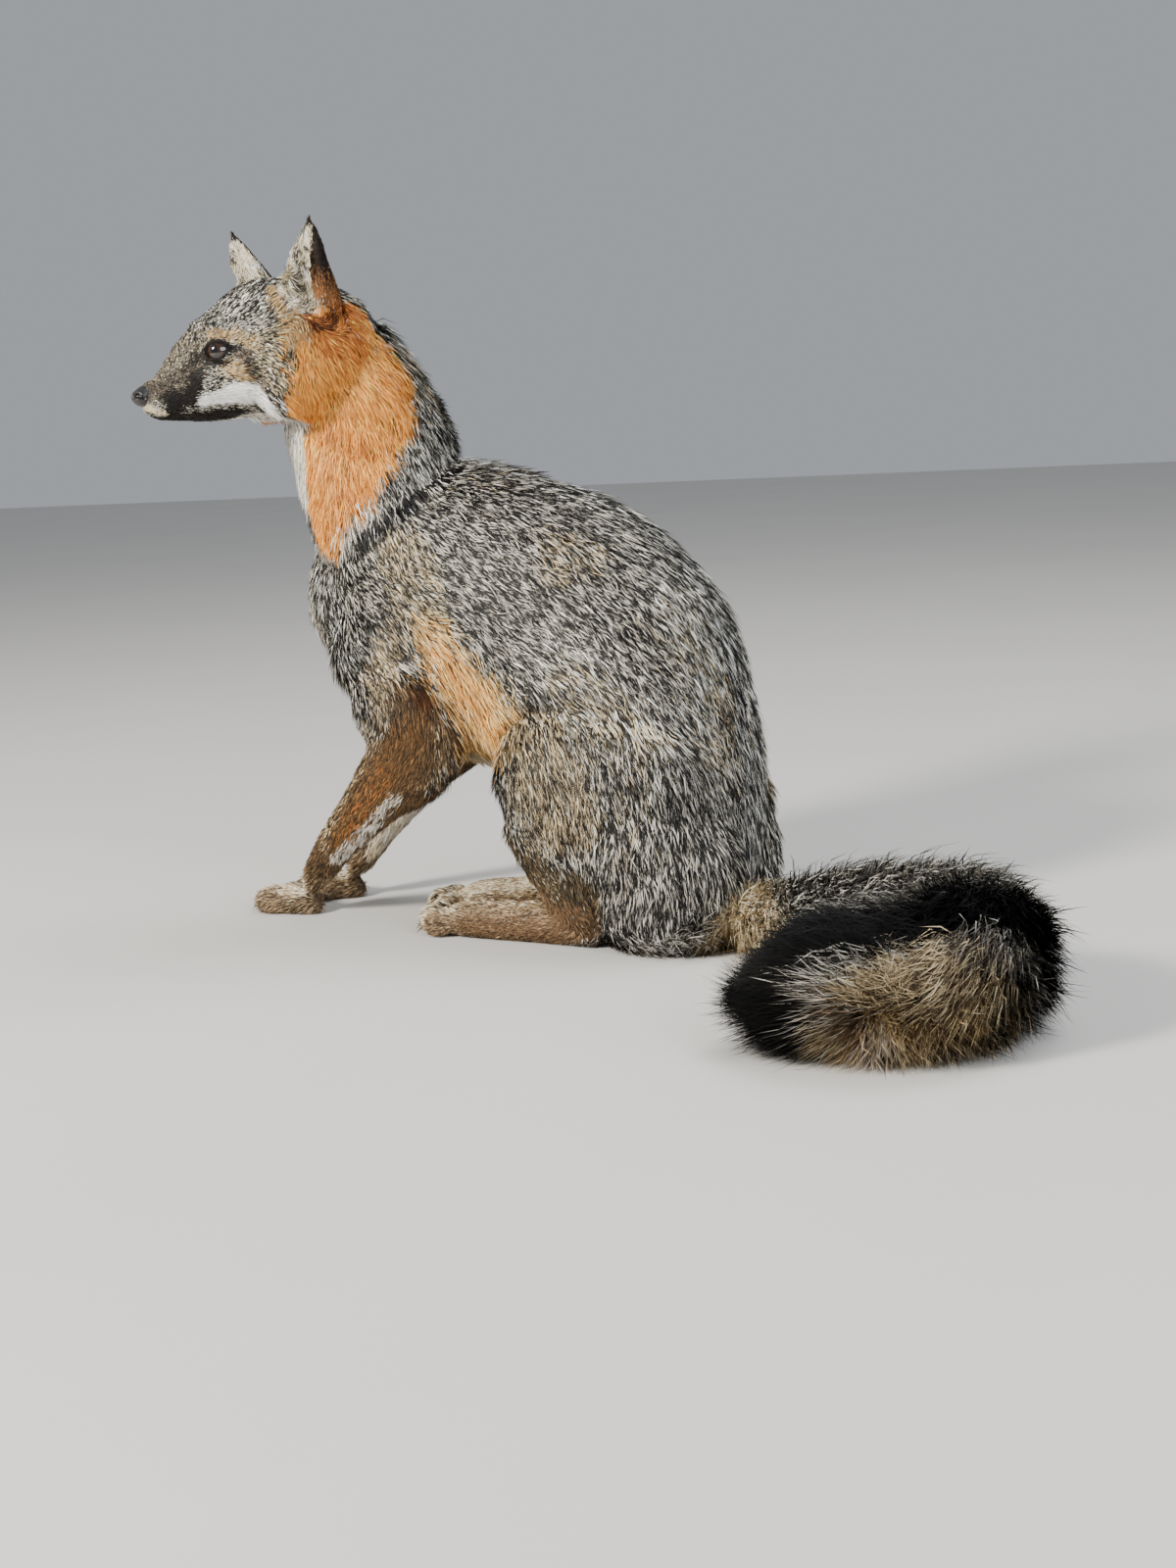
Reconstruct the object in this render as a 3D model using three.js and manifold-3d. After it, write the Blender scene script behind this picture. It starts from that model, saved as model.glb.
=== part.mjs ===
// Mounted gray fox, life size, sitting on its haunches with the fore legs set forward, the head
// turned to its left and the tail curled on the floor beside it. The fox faces -X, so its left
// side is -Y. Millimetres, +Z up, floor at z = 0. Every outline runs out to the tips of the coat.

import * as THREE from 'three';
import { mergeVertices } from 'three/addons/utils/BufferGeometryUtils.js';
import Module from 'manifold-3d';

const wasm = await Module();
wasm.setup();

// ---------------------------------------------------------------- driving dimensions
// The dimensions are laid out from the middle of the shoulders' shadow on the floor; the
// finished fox is then moved so that the origin is under the middle of its whole box.
const CENTRE = [72.04, -90.44, 0];
const GAP = 0.4;                       // left between neighbouring parts
const HEAD_TURN = 47.3;                // degrees to its left of the trunk
const HEAD_PLACE = [-110, -3, 0];      // foot of the upright axis that the head turns on

// A form is a closed shape along stations. A station is [x, y, z, side, over, under]: where the
// form's axis passes, and how far the form reaches to each side of it, over it and under it.
// "turn" swings the sideways direction about the upright, in degrees, from +Y.

// The head is laid out square to itself, muzzle towards -X, before it is turned.
const HEAD = {
  around: 16, rings: 13, round: 0.14,
  stations: [
    [-134, 0, 333, 8, 8, 9],           // front of the muzzle
    [-123, 0, 333, 12, 12.5, 14.5],    // whisker pads
    [-108, 0, 337, 16, 21, 21],        // bridge
    [-92, 0, 343, 24, 30, 27],         // stop, in front of the eyes
    [-72, 0, 349, 35, 39.5, 31],       // forehead and cheekbones
    [-48, 0, 354, 42, 47, 36],         // crown and jaw corners
    [-25, 0, 356, 42, 45, 38],         // between the ears
    [-4, 0, 354, 36, 36, 36],          // back of the skull
    [12, 0, 348, 24, 24, 26],
  ],
};
const CHEEK_RUFF = { centre: [-46, 24, 342], reach: [28, 22, 27], around: 10, rings: 7 };
const BROW = { centre: [-84, 15, 372], reach: [13, 9, 8], around: 7, rings: 5 };
const WHISKER_PAD = { centre: [-119, 7, 329], reach: [12, 8, 9], around: 7, rings: 5 };
const EYE = { centre: [-86, 19, 358.5], reach: [8.6, 8.6, 8.6], around: 10, rings: 7 };
const NOSE_PAD = { centre: [-130.5, 0, 335.2], reach: [6.6, 7.6, 6.3], around: 12, rings: 7 };

const EAR = {
  around: 12, rings: 7, round: 0.24, turn: 35,
  stations: [
    [-24, -24, 364, 15, 10, 13],       // root in the skull
    [-29, -30, 383, 17.5, 12, 13],     // height of the notch
    [-33, -36, 403, 15, 8, 10],
    [-33, -41, 420, 8.5, 4.5, 6],
    [-32, -44, 434, 2, 2, 2],          // tip
  ],
};
// The hollow of the ear: how far it stands forward of the ear's axis, then its own reaches.
const EAR_HOLLOW = {
  around: 10, rings: 6, round: 0.3,
  steps: [
    [7, 8, 8, 8],                      // floor of the hollow
    [7, 14.5, 14, 11],
    [6, 12, 11, 12],
    [4, 6, 6, 7.5],
    [3, 2, 2, 2],
  ],
};
const HOLLOW_FLOOR = [-27, -28, 373];
const HOLLOW_TOP_DROP = 3;
// The right ear is set further forward, leans outward and is turned towards the left.
const RIGHT_EAR = { forward: 21, outward: 5, turn: 15 };
const EAR_FOOT = 350;                  // height that the right ear's lean is counted from
const EAR_LENGTH = 84;

const NECK = {
  around: 20, rings: 10, round: 0.2, turn: 0, turnEnd: 42,
  stations: [
    [-62, 0, 205, 50, 56, 48],         // inside the shoulders
    [-84, 0, 250, 58, 61, 50],         // where it leaves the breast
    [-102, -2, 292, 52, 50, 54],
    [-113, -6, 330, 46, 45, 50],       // throat
    [-118, -9, 362, 40, 36, 39],
    [-122, -12, 388, 26, 24, 24],      // inside the skull
  ],
};

const TRUNK = {
  around: 18, rings: 15, round: 0.18,
  stations: [
    [-154, 0, 196, 38, 50, 48],        // point of the breast
    [-98, 0, 204, 58, 82, 72],         // shoulders
    [-40, 0, 198, 68, 89, 84],         // girth behind the elbows
    [8, 0, 172, 72, 102, 86],          // ribs
    [48, 0, 136, 76, 98, 66],          // loin
    [76, 0, 96, 78, 72, 56],           // haunches
    [90, 0, 50, 76, 54, 56],           // rump
    [94, 0, -8, 60, 46, 50],           // seat
  ],
};

const FORELEG_LEFT = {
  around: 12, rings: 10, round: 0.16,
  stations: [
    [-60, -42, 180, 20, 28, 30],       // lower end of the shoulder, inside the trunk
    [-66, -52, 154, 24, 34, 33],       // upper arm
    [-62, -54, 120, 21, 36, 28],       // elbow
    [-94, -42, 82, 17, 21, 20],        // forearm
    [-124, -30, 52, 14, 15, 16],
    [-143, -20, 28, 13, 13, 14],       // wrist
    [-150, -17, 12, 10, 10, 10],
  ],
};
const FORELEG_RIGHT = {
  ...FORELEG_LEFT,
  stations: [
    [-62, 42, 180, 20, 28, 30],
    [-72, 50, 154, 24, 30, 33],
    [-70, 52, 120, 20, 28, 26],
    [-100, 47, 82, 15, 18, 18],
    [-123, 42, 52, 13, 14, 15],
    [-138, 37, 28, 12.5, 12, 13],
    [-146, 35, 12, 10, 10, 10],
  ],
};

const THIGH = {
  around: 12, rings: 9, round: 0.26,
  stations: [
    [-6, -58, 96, 22, 34, 34],         // knee
    [20, -60, 98, 28, 50, 46],
    [56, -56, 98, 36, 58, 52],         // middle of the thigh
    [96, -50, 92, 36, 52, 56],         // hip
    [134, -42, 84, 28, 36, 44],
  ],
};
const HAUNCH = { centre: [96, 46, 42], reach: [50, 44, 60], around: 10, rings: 7 };

const SHANK_LEFT = {
  around: 10, rings: 6, round: 0.2,
  stations: [
    [14, -66, 96, 20, 30, 20],         // under the knee
    [28, -66, 62, 19, 32, 20],
    [46, -64, 28, 16, 22, 18],
    [58, -63, 8, 12, 12, 12],          // hock
  ],
};
const SHANK_RIGHT = {
  ...SHANK_LEFT,
  stations: [
    [14, 60, 96, 20, 30, 20],
    [26, 48, 62, 19, 32, 20],
    [40, 34, 28, 16, 20, 16],
    [46, 28, 8, 12, 12, 12],
  ],
};

// A foot lies from its heel to the tip of its longest toes, given on the floor.
const FOREPAW = { width: 33, height: 20, heelHeight: 24 };
const HIND_FOOT = { width: 33, height: 26, heelHeight: 30 };
const FEET = {
  forepaw_left: { ...FOREPAW, heel: [-140, -19], toe: [-204, -3] },
  forepaw_right: { ...FOREPAW, heel: [-134, 38], toe: [-194, 24] },
  hind_foot_left: { ...HIND_FOOT, heel: [62, -62], toe: [-66, -44] },
  hind_foot_right: { ...HIND_FOOT, heel: [44, 26], toe: [-80, -12] },
};
const TOES = 4;                        // that reach the floor on each foot
const TOE_REACH = [9, 5, 7.5];
const OUTER_TOE_SETBACK = 6;
const CLAW = { radius: 1.8, length: 9, droop: 0.3 };

const TAIL = {
  around: 14, rings: 24, round: 0.1, level: true,
  stations: [
    [112, -6, 14, 22, 14, 20],         // root, under the rump
    [146, -42, 18, 26, 17, 24],
    [188, -80, 25, 33, 27, 32],
    [238, -116, 34, 38, 38, 40],
    [286, -150, 40, 41, 46, 46],       // start of the bend
    [308, -184, 42, 42, 48, 48],
    [296, -218, 42, 40, 47, 48],
    [266, -232, 39, 40, 44, 46],
    [228, -230, 33, 35, 36, 38],
    [180, -214, 22, 22, 22, 26],       // tip
  ],
};
const TAIL_CUTS = [0.34, 0.74];        // shares of its length where the tail is parted
const TAIL_CUT_RADIUS = 62;

// Where the neck is parted from the head and from the trunk, and which way it leaves the cut.
const NAPE_CUT = { centre: [-112, -8, 352], way: [-0.49, -0.53, 0.69], radius: 200 };
const NECK_CUT = { centre: [-92, 0, 268], way: [-0.42, -0.04, 0.9], radius: 260 };

// ---------------------------------------------------------------- solids
const toSolid = (geometry) => {
  geometry.deleteAttribute('normal');
  geometry.deleteAttribute('uv');
  const merged = mergeVertices(geometry, 1e-4);
  const vertProperties = new Float32Array(merged.attributes.position.array);
  const triVerts = new Uint32Array(merged.index.array);
  return new wasm.Manifold(new wasm.Mesh({ numProp: 3, vertProperties, triVerts }));
};

const toGeometry = (solid) => {
  const { vertProperties, triVerts } = solid.getMesh();
  const geometry = new THREE.BufferGeometry();
  geometry.setAttribute('position', new THREE.BufferAttribute(new Float32Array(vertProperties), 3));
  geometry.setIndex(new THREE.BufferAttribute(new Uint32Array(triVerts), 1));
  geometry.computeVertexNormals();
  return geometry;
};

const join = (...solids) => solids.reduce((all, solid) => all.add(solid));
const largest = (solid) => solid.decompose().sort((a, b) => b.volume() - a.volume())[0];

const axisOf = (form) => new THREE.CatmullRomCurve3(
  form.stations.map(([x, y, z]) => new THREE.Vector3(x, y, z)));

// How full a form is at share u of its length: 1 along it, rounded to nothing at both ends.
const fullness = (u, round) => {
  const toEnd = Math.min(u, 1 - u) / round;
  return toEnd >= 1 ? 1 : Math.sqrt(Math.max(0, 1 - (1 - toEnd) ** 2));
};

// A sphere drawn out along a form's stations, its poles at the first and the last of them.
// "grow" makes every reach larger, for the room that a neighbour leaves round the form.
function sweep(form, grow = 0) {
  const { stations, around, rings, round, turn = 0, turnEnd = turn, level = false } = form;
  const axis = axisOf(form);
  const reach = new THREE.CatmullRomCurve3(
    stations.map(([, , , side, over, under]) => new THREE.Vector3(side, over, under)));
  const geometry = new THREE.SphereGeometry(1, around, rings);
  const points = geometry.attributes.position;
  const unit = new THREE.Vector3();
  for (let i = 0; i < points.count; i += 1) {
    unit.fromBufferAttribute(points, i);
    const polar = Math.acos(THREE.MathUtils.clamp(unit.y, -1, 1)) / Math.PI;
    const u = (polar + (1 - unit.y) / 2) / 2;              // rings stand closer near the ends
    const bearing = Math.atan2(unit.z, unit.x);
    const tangent = axis.getTangent(u);
    const swing = THREE.MathUtils.degToRad(THREE.MathUtils.lerp(turn, turnEnd, u));
    const across = level
      ? new THREE.Vector3(-tangent.y, tangent.x, 0)
      : new THREE.Vector3(-Math.sin(swing), Math.cos(swing), 0);
    across.addScaledVector(tangent, -across.dot(tangent)).normalize();
    const over = new THREE.Vector3().crossVectors(tangent, across);
    const { x: side, y: above, z: below } = reach.getPoint(u);
    const full = fullness(u, round);
    const wide = full > 1e-3 ? side * full + grow : 0;
    const high = full > 1e-3 ? (Math.sin(bearing) > 0 ? above : below) * full + grow : 0;
    const place = axis.getPoint(u)
      .addScaledVector(tangent, (2 * u - 1) * grow)
      .addScaledVector(across, Math.cos(bearing) * wide)
      .addScaledVector(over, Math.sin(bearing) * high);
    points.setXYZ(i, place.x, place.y, place.z);
  }
  return toSolid(geometry);
}

// A ball stretched along X, Y and Z. "side" puts it on the left (-1) or the right (1).
function ball({ centre: [x, y, z], reach, around, rings }, side = 1, grow = 0) {
  const geometry = new THREE.SphereGeometry(1, around, rings);
  geometry.rotateX(Math.PI / 2);
  geometry.scale(...reach.map((r) => r + grow));
  geometry.translate(x, side * y, z);
  return toSolid(geometry);
}

// A round slab standing square to a direction, centred on a point.
function slab(centre, way, thickness, radius) {
  const geometry = new THREE.CylinderGeometry(radius, radius, thickness, 16);
  const turn = new THREE.Quaternion().setFromUnitVectors(new THREE.Vector3(0, 1, 0), way);
  geometry.applyQuaternion(turn);
  geometry.translate(centre.x, centre.y, centre.z);
  return toSolid(geometry);
}

// Everything past a cut, from half a gap before it (early) or half a gap after it.
function past({ centre, way, radius }, early = false) {
  const depth = 400;
  const unit = new THREE.Vector3(...way).normalize();
  const start = (early ? -GAP : GAP) / 2;
  const middle = new THREE.Vector3(...centre).addScaledVector(unit, depth / 2 + start);
  return slab(middle, unit, depth, radius);
}

const mirrored = (form) => ({
  ...form,
  stations: form.stations.map(([x, y, z, ...reach]) => [x, -y, z, ...reach]),
});

// ---------------------------------------------------------------- ears
function hollowOf(ear) {
  const turn = THREE.MathUtils.degToRad(ear.turn);
  const stations = EAR_HOLLOW.steps.map(([shift, ...reach], i) => {
    const [x, y, z] = i === 0 ? ear.hollowFloor : ear.stations[i];
    const drop = i === EAR_HOLLOW.steps.length - 1 ? HOLLOW_TOP_DROP : 0;
    return [x - Math.cos(turn) * shift, y - Math.sin(turn) * shift, z - drop, ...reach];
  });
  return { ...EAR_HOLLOW, turn: ear.turn, stations };
}

function rightEar() {
  const lean = ([x, y, z, ...reach]) => {
    const share = (z - EAR_FOOT) / EAR_LENGTH;
    return [x - RIGHT_EAR.forward * share, -y + RIGHT_EAR.outward * share, z, ...reach];
  };
  return {
    ...EAR, turn: RIGHT_EAR.turn, stations: EAR.stations.map(lean), hollowFloor: lean(HOLLOW_FLOOR),
  };
}

const EARS = { ear_left: { ...EAR, hollowFloor: HOLLOW_FLOOR }, ear_right: rightEar() };

// ---------------------------------------------------------------- feet
// The sole lies on the floor, with the toes side by side in front and a claw on each.
function foot({ heel, toe, width, height, heelHeight }, grow = 0) {
  const way = new THREE.Vector2(toe[0] - heel[0], toe[1] - heel[1]);
  const length = way.length();
  const bearing = way.angle();
  way.normalize();
  const place = (forward, left, z) => [
    heel[0] + way.x * forward - way.y * left, heel[1] + way.y * forward + way.x * left, z];
  const station = (share, breadth, top) => {
    const z = top * 0.42;
    return [...place(length * share, 0, z), breadth * width / 2, top - z, z + 3];
  };
  let all = sweep({
    around: 10, rings: 6, round: 0.26, turn: THREE.MathUtils.radToDeg(bearing) - 180,
    stations: [
      station(0.93, 0.7, height * 0.6),
      station(0.72, 0.95, height * 0.95),
      station(0.4, 0.82, height),
      station(0.1, 0.82, heelHeight),
      station(-0.06, 0.6, heelHeight * 0.9),
    ],
  }, grow);
  for (let i = 0; i < TOES; i += 1) {
    const offset = i - (TOES - 1) / 2;
    const setback = Math.abs(offset) > 1 ? OUTER_TOE_SETBACK : 0;
    const forward = length - 12 - setback;
    const left = offset * width * 0.23;
    all = all.add(toeAt(place(forward, left, 6.2), bearing, TOE_REACH.map((r) => r + grow)));
    if (grow === 0) all = all.add(clawAt(place(forward + 6.5, left, 4.6), bearing));
  }
  return all;
}

function toeAt(centre, bearing, reach) {
  const geometry = new THREE.SphereGeometry(1, 6, 4);
  geometry.rotateX(Math.PI / 2);
  geometry.scale(...reach);
  geometry.rotateZ(bearing);
  geometry.translate(...centre);
  return toSolid(geometry);
}

function clawAt(root, bearing) {
  const geometry = new THREE.ConeGeometry(CLAW.radius, CLAW.length, 4);
  geometry.rotateZ(-Math.PI / 2);
  geometry.rotateY(CLAW.droop);
  geometry.rotateZ(bearing);
  geometry.translate(...root);
  return toSolid(geometry);
}

// ---------------------------------------------------------------- the fox
const headPlace = new THREE.Matrix4()
  .makeRotationZ(THREE.MathUtils.degToRad(HEAD_TURN))
  .setPosition(...HEAD_PLACE);
const onHead = (solid) => toSolid(toGeometry(solid).applyMatrix4(headPlace));

function buildHeadPieces() {
  const pieces = { nose_pad: ball(NOSE_PAD), eye_left: ball(EYE, -1), eye_right: ball(EYE, 1) };
  for (const [name, ear] of Object.entries(EARS)) {
    pieces[name] = sweep(ear).subtract(sweep(hollowOf(ear)));
  }
  for (const name of Object.keys(pieces)) pieces[name] = onHead(pieces[name]);
  return pieces;
}

function buildSkull() {
  const both = [CHEEK_RUFF, BROW, WHISKER_PAD].flatMap((form) => [ball(form, -1), ball(form, 1)]);
  const room = join(
    ball(NOSE_PAD, 1, GAP), ball(EYE, -1, GAP), ball(EYE, 1, GAP),
    ...Object.values(EARS).map((ear) => sweep(ear, GAP)));
  return { skull: onHead(join(sweep(HEAD), ...both)), room: onHead(room) };
}

function buildLimbs() {
  const footRoom = Object.fromEntries(
    Object.entries(FEET).map(([name, layout]) => [name, foot(layout, GAP)]));
  const hindRoom = join(footRoom.hind_foot_left, footRoom.hind_foot_right);
  const forepawRoom = join(footRoom.forepaw_left, footRoom.forepaw_right);
  const shankRoom = join(sweep(SHANK_LEFT, GAP), sweep(SHANK_RIGHT, GAP));
  const thighAndHaunch = (side, grow) => join(
    sweep(side < 0 ? THIGH : mirrored(THIGH), grow), ball(HAUNCH, side, grow));
  const limbs = {
    forepaw_left: foot(FEET.forepaw_left),
    forepaw_right: foot(FEET.forepaw_right).subtract(footRoom.forepaw_left),
    hind_foot_left: foot(FEET.hind_foot_left),
    hind_foot_right: foot(FEET.hind_foot_right).subtract(footRoom.hind_foot_left),
    foreleg_left: sweep(FORELEG_LEFT).subtract(forepawRoom),
    foreleg_right: sweep(FORELEG_RIGHT).subtract(join(forepawRoom, sweep(FORELEG_LEFT, GAP))),
    shank_left: sweep(SHANK_LEFT).subtract(hindRoom),
    shank_right: sweep(SHANK_RIGHT).subtract(join(hindRoom, sweep(SHANK_LEFT, GAP))),
  };
  const lowerRoom = join(hindRoom, shankRoom);
  limbs.thigh_left = thighAndHaunch(-1, 0).subtract(lowerRoom);
  limbs.thigh_right = thighAndHaunch(1, 0).subtract(join(lowerRoom, thighAndHaunch(-1, GAP)));
  const haunchRoom = join(thighAndHaunch(-1, GAP), thighAndHaunch(1, GAP));
  const room = join(sweep(FORELEG_LEFT, GAP), sweep(FORELEG_RIGHT, GAP), haunchRoom, lowerRoom);
  return { limbs, room, haunchRoom };
}

function buildTail(haunchRoom) {
  const axis = axisOf(TAIL);
  const tail = sweep(TAIL).subtract(join(sweep(TRUNK, GAP), haunchRoom));
  const cuts = TAIL_CUTS.map((u) => slab(axis.getPoint(u), axis.getTangent(u), GAP, TAIL_CUT_RADIUS));
  const lengths = tail.subtract(join(...cuts)).decompose();
  const lengthAt = (u) => {
    const probe = slab(axis.getPoint(u), axis.getTangent(u), 2, 2);
    return lengths.find((solid) => !solid.intersect(probe).isEmpty());
  };
  const [first, second] = TAIL_CUTS;
  return {
    tail_base: lengthAt((first + 0.1) / 2),
    tail_middle: lengthAt((first + second) / 2),
    tail_tip: lengthAt((second + 1) / 2),
  };
}

function buildFox() {
  const { limbs, room: limbRoom, haunchRoom } = buildLimbs();
  const { skull, room: headRoom } = buildSkull();
  const body = join(skull, sweep(NECK), sweep(TRUNK)).subtract(join(headRoom, limbRoom));
  return {
    head: body.intersect(past(NAPE_CUT)),
    ...buildHeadPieces(),
    neck: body.intersect(past(NECK_CUT)).subtract(past(NAPE_CUT, true)),
    trunk: body.subtract(past(NECK_CUT, true)),
    ...limbs,
    ...buildTail(haunchRoom),
  };
}

// ---------------------------------------------------------------- materials and scene
const hair = (color) => new THREE.MeshStandardMaterial({ color, roughness: 0.95, metalness: 0 });
const grizzled = hair('#7d776c');
const rust = hair('#a8733f');
const buff = hair('#a08560');
const dark = hair('#4a453f');
const black = hair('#232120');
const glassEye = new THREE.MeshStandardMaterial({ color: '#2a1a0f', roughness: 0.08, metalness: 0 });
const leather = new THREE.MeshStandardMaterial({ color: '#26221f', roughness: 0.45, metalness: 0 });
const finishes = {
  head: grizzled, neck: rust, trunk: grizzled, nose_pad: leather, eye_left: glassEye,
  eye_right: glassEye, ear_left: buff, ear_right: buff, foreleg_left: rust, foreleg_right: rust,
  forepaw_left: buff, forepaw_right: buff, thigh_left: grizzled, thigh_right: grizzled,
  shank_left: rust, shank_right: rust, hind_foot_left: buff, hind_foot_right: buff,
  tail_base: buff, tail_middle: dark, tail_tip: black,
};

const floorUp = slab(new THREE.Vector3(0, 0, 400), new THREE.Vector3(0, 0, 1), 800, 900);
const fox = new THREE.Group();
for (const [name, solid] of Object.entries(buildFox())) {
  const mesh = new THREE.Mesh(toGeometry(largest(solid.intersect(floorUp))), finishes[name]);
  mesh.name = name;
  mesh.position.set(-CENTRE[0], -CENTRE[1], -CENTRE[2]);
  fox.add(mesh);
}

export default fox;
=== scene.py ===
# Mounted gray fox, life size: one skin over all the flesh, glass eyes, nose leather, claws, and a
# coat of solid tufts. Shapes are laid out in millimetres on the same layout as the solids: the fox
# faces -X, its left side is -Y and the floor is z = 0.
import math

import bmesh
import bpy
import numpy as np
from mathutils import Matrix


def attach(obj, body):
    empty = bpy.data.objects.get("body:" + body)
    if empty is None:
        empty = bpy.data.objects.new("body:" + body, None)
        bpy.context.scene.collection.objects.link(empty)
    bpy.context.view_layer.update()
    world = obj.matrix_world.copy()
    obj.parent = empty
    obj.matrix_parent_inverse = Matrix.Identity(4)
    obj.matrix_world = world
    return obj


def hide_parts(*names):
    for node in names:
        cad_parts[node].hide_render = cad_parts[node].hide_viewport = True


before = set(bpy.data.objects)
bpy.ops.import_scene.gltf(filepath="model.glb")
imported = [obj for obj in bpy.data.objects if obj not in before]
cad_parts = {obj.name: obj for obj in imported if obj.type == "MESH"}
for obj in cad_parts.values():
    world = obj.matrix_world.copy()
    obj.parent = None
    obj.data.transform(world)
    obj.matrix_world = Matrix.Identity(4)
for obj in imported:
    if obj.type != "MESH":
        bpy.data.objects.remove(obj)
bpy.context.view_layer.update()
rng = np.random.default_rng(417)

# -------- layout
CENTRE = np.array([72.04, -90.44, 0.0])        # middle of the finished fox, on the layout
HEAD_TURN = math.radians(47.3)                 # the head looks this far to its left
HEAD_PLACE = np.array([-110.0, -3.0, 0.0])     # foot of the upright axis that the head turns on
TURN = np.array([
    [math.cos(HEAD_TURN), -math.sin(HEAD_TURN), 0],
    [math.sin(HEAD_TURN), math.cos(HEAD_TURN), 0],
    [0, 0, 1],
])
EAR_LEAN = (21, 5)                             # right ear, forward and outward at its tip
EAR_FOOT, EAR_LENGTH = 350, 84


def from_head(points):
    """Points laid out on the head, square to itself, put where the turned head has them."""
    return np.asarray(points, float) @ TURN.T + HEAD_PLACE


def on_head(points):
    """The same the other way round: where points of the fox lie on the head's own layout."""
    return (np.asarray(points, float) - HEAD_PLACE) @ TURN


def metres(points):
    """Points of the layout, in millimetres, put in the shared frame in metres."""
    return (np.asarray(points, float) - CENTRE) / 1000


def unit(vectors):
    return vectors / np.maximum(np.linalg.norm(vectors, axis=-1, keepdims=True), 1e-9)


def step(value, low, high):
    """0 below low, 1 above high, and a soft rise between them."""
    share = np.clip((value - low) / (high - low), 0, 1)
    return share * share * (3 - 2 * share)


# -------- forms under the coat
# A station is [x, y, z, side, over, under]: where a form's axis passes, and how far it reaches.
HEAD = [
    [-134, 0, 333, 8, 8, 9], [-123, 0, 333, 12, 12.5, 14.5], [-108, 0, 337, 16, 21, 21],
    [-92, 0, 343, 24, 30, 27], [-72, 0, 349, 35, 39.5, 31], [-48, 0, 354, 42, 47, 36],
    [-25, 0, 356, 42, 45, 38], [-4, 0, 354, 36, 36, 36], [12, 0, 348, 24, 24, 26],
]
CHEEK_RUFF = ([-46, 24, 342], [28, 22, 27])
BROW = ([-84, 15, 372], [13, 9, 8])
WHISKER_PAD = ([-119, 7, 329], [12, 8, 9])
EYE_CENTRE = [-86, 19, 358.5]
EYE_RADIUS, EYE_SLACK = 8.5, 0.15              # in mm, and how much less of it the glass has
CORNEA_RISE = 0.05                             # its clear dome, as a share of the radius
NOSE_CENTRE, NOSE_REACH = [-130.2, 0, 335.4], [6.6, 7.6, 6.7]
NOSTRIL = [
    [-136.6, -2.7, 335.4, 0.9], [-135.2, -4.4, 335.6, 1.0], [-133.2, -6.0, 334.6, 0.6],
    [-131, -7.2, 333.6, 0.2],
]
EAR = [
    [-24, -24, 364, 15, 10, 13], [-29, -30, 383, 17.5, 12, 13], [-33, -36, 403, 15, 8, 10],
    [-33, -41, 420, 8.5, 4.5, 6], [-32, -44, 434, 2, 2, 2],
]
EAR_HOLLOW_STEPS = [[7, 8, 8, 8], [7, 14.5, 14, 11], [6, 12, 11, 12], [4, 6, 6, 7.5], [3, 2, 2, 2]]
EAR_HOLLOW_FLOOR = [-27, -28, 373]
NECK = [
    [-62, 0, 205, 50, 53, 48], [-84, 0, 250, 58, 57, 50], [-102, -2, 292, 52, 50, 54],
    [-113, -6, 330, 46, 45, 50], [-118, -9, 362, 40, 36, 39], [-122, -12, 388, 26, 24, 24],
]
TRUNK = [
    [-154, 0, 196, 38, 50, 48], [-98, 0, 204, 58, 82, 72], [-40, 0, 198, 68, 89, 84],
    [8, 0, 172, 72, 102, 86], [48, 0, 136, 76, 98, 66], [76, 0, 96, 78, 72, 56],
    [90, 0, 50, 76, 54, 56], [94, 0, -8, 60, 46, 50],
]
FORELEG_LEFT = [
    [-60, -42, 180, 20, 28, 30], [-66, -52, 154, 24, 34, 33], [-62, -54, 120, 21, 36, 28],
    [-95, -42, 82, 17, 21, 20], [-128, -28, 52, 14, 15, 16], [-151, -17, 28, 13, 12, 13],
    [-163, -14, 13, 12, 9, 9],
]
FORELEG_RIGHT = [
    [-62, 42, 180, 20, 28, 30], [-72, 50, 154, 24, 30, 33], [-70, 52, 120, 20, 28, 26],
    [-101, 47, 82, 15, 18, 18], [-127, 40, 52, 13, 14, 15], [-145, 34, 28, 12.5, 12, 13],
    [-157, 31, 13, 12, 9, 9],
]
THIGH = [
    [-6, -58, 96, 22, 34, 34], [20, -60, 98, 28, 50, 46], [56, -56, 98, 36, 58, 52],
    [96, -50, 92, 36, 52, 56], [134, -42, 84, 28, 36, 44],
]
HAUNCH = ([96, 46, 42], [50, 44, 60])
RIGHT_THIGH_SHIFT = -6                         # the right thigh lies 6 mm further forward
SHOULDER_FILL = ([-82, 44, 178], [28, 20, 32])
RUMP_FILL = ([84, 50, 68], [46, 36, 42])
SHANK_LEFT = [
    [14, -66, 96, 20, 30, 20], [28, -66, 62, 19, 32, 20], [46, -64, 28, 16, 22, 18],
    [58, -63, 8, 12, 12, 12],
]
SHANK_RIGHT = [
    [14, 60, 96, 20, 30, 20], [26, 48, 62, 19, 32, 20], [40, 34, 28, 16, 20, 16],
    [46, 28, 8, 12, 12, 12],
]
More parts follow.
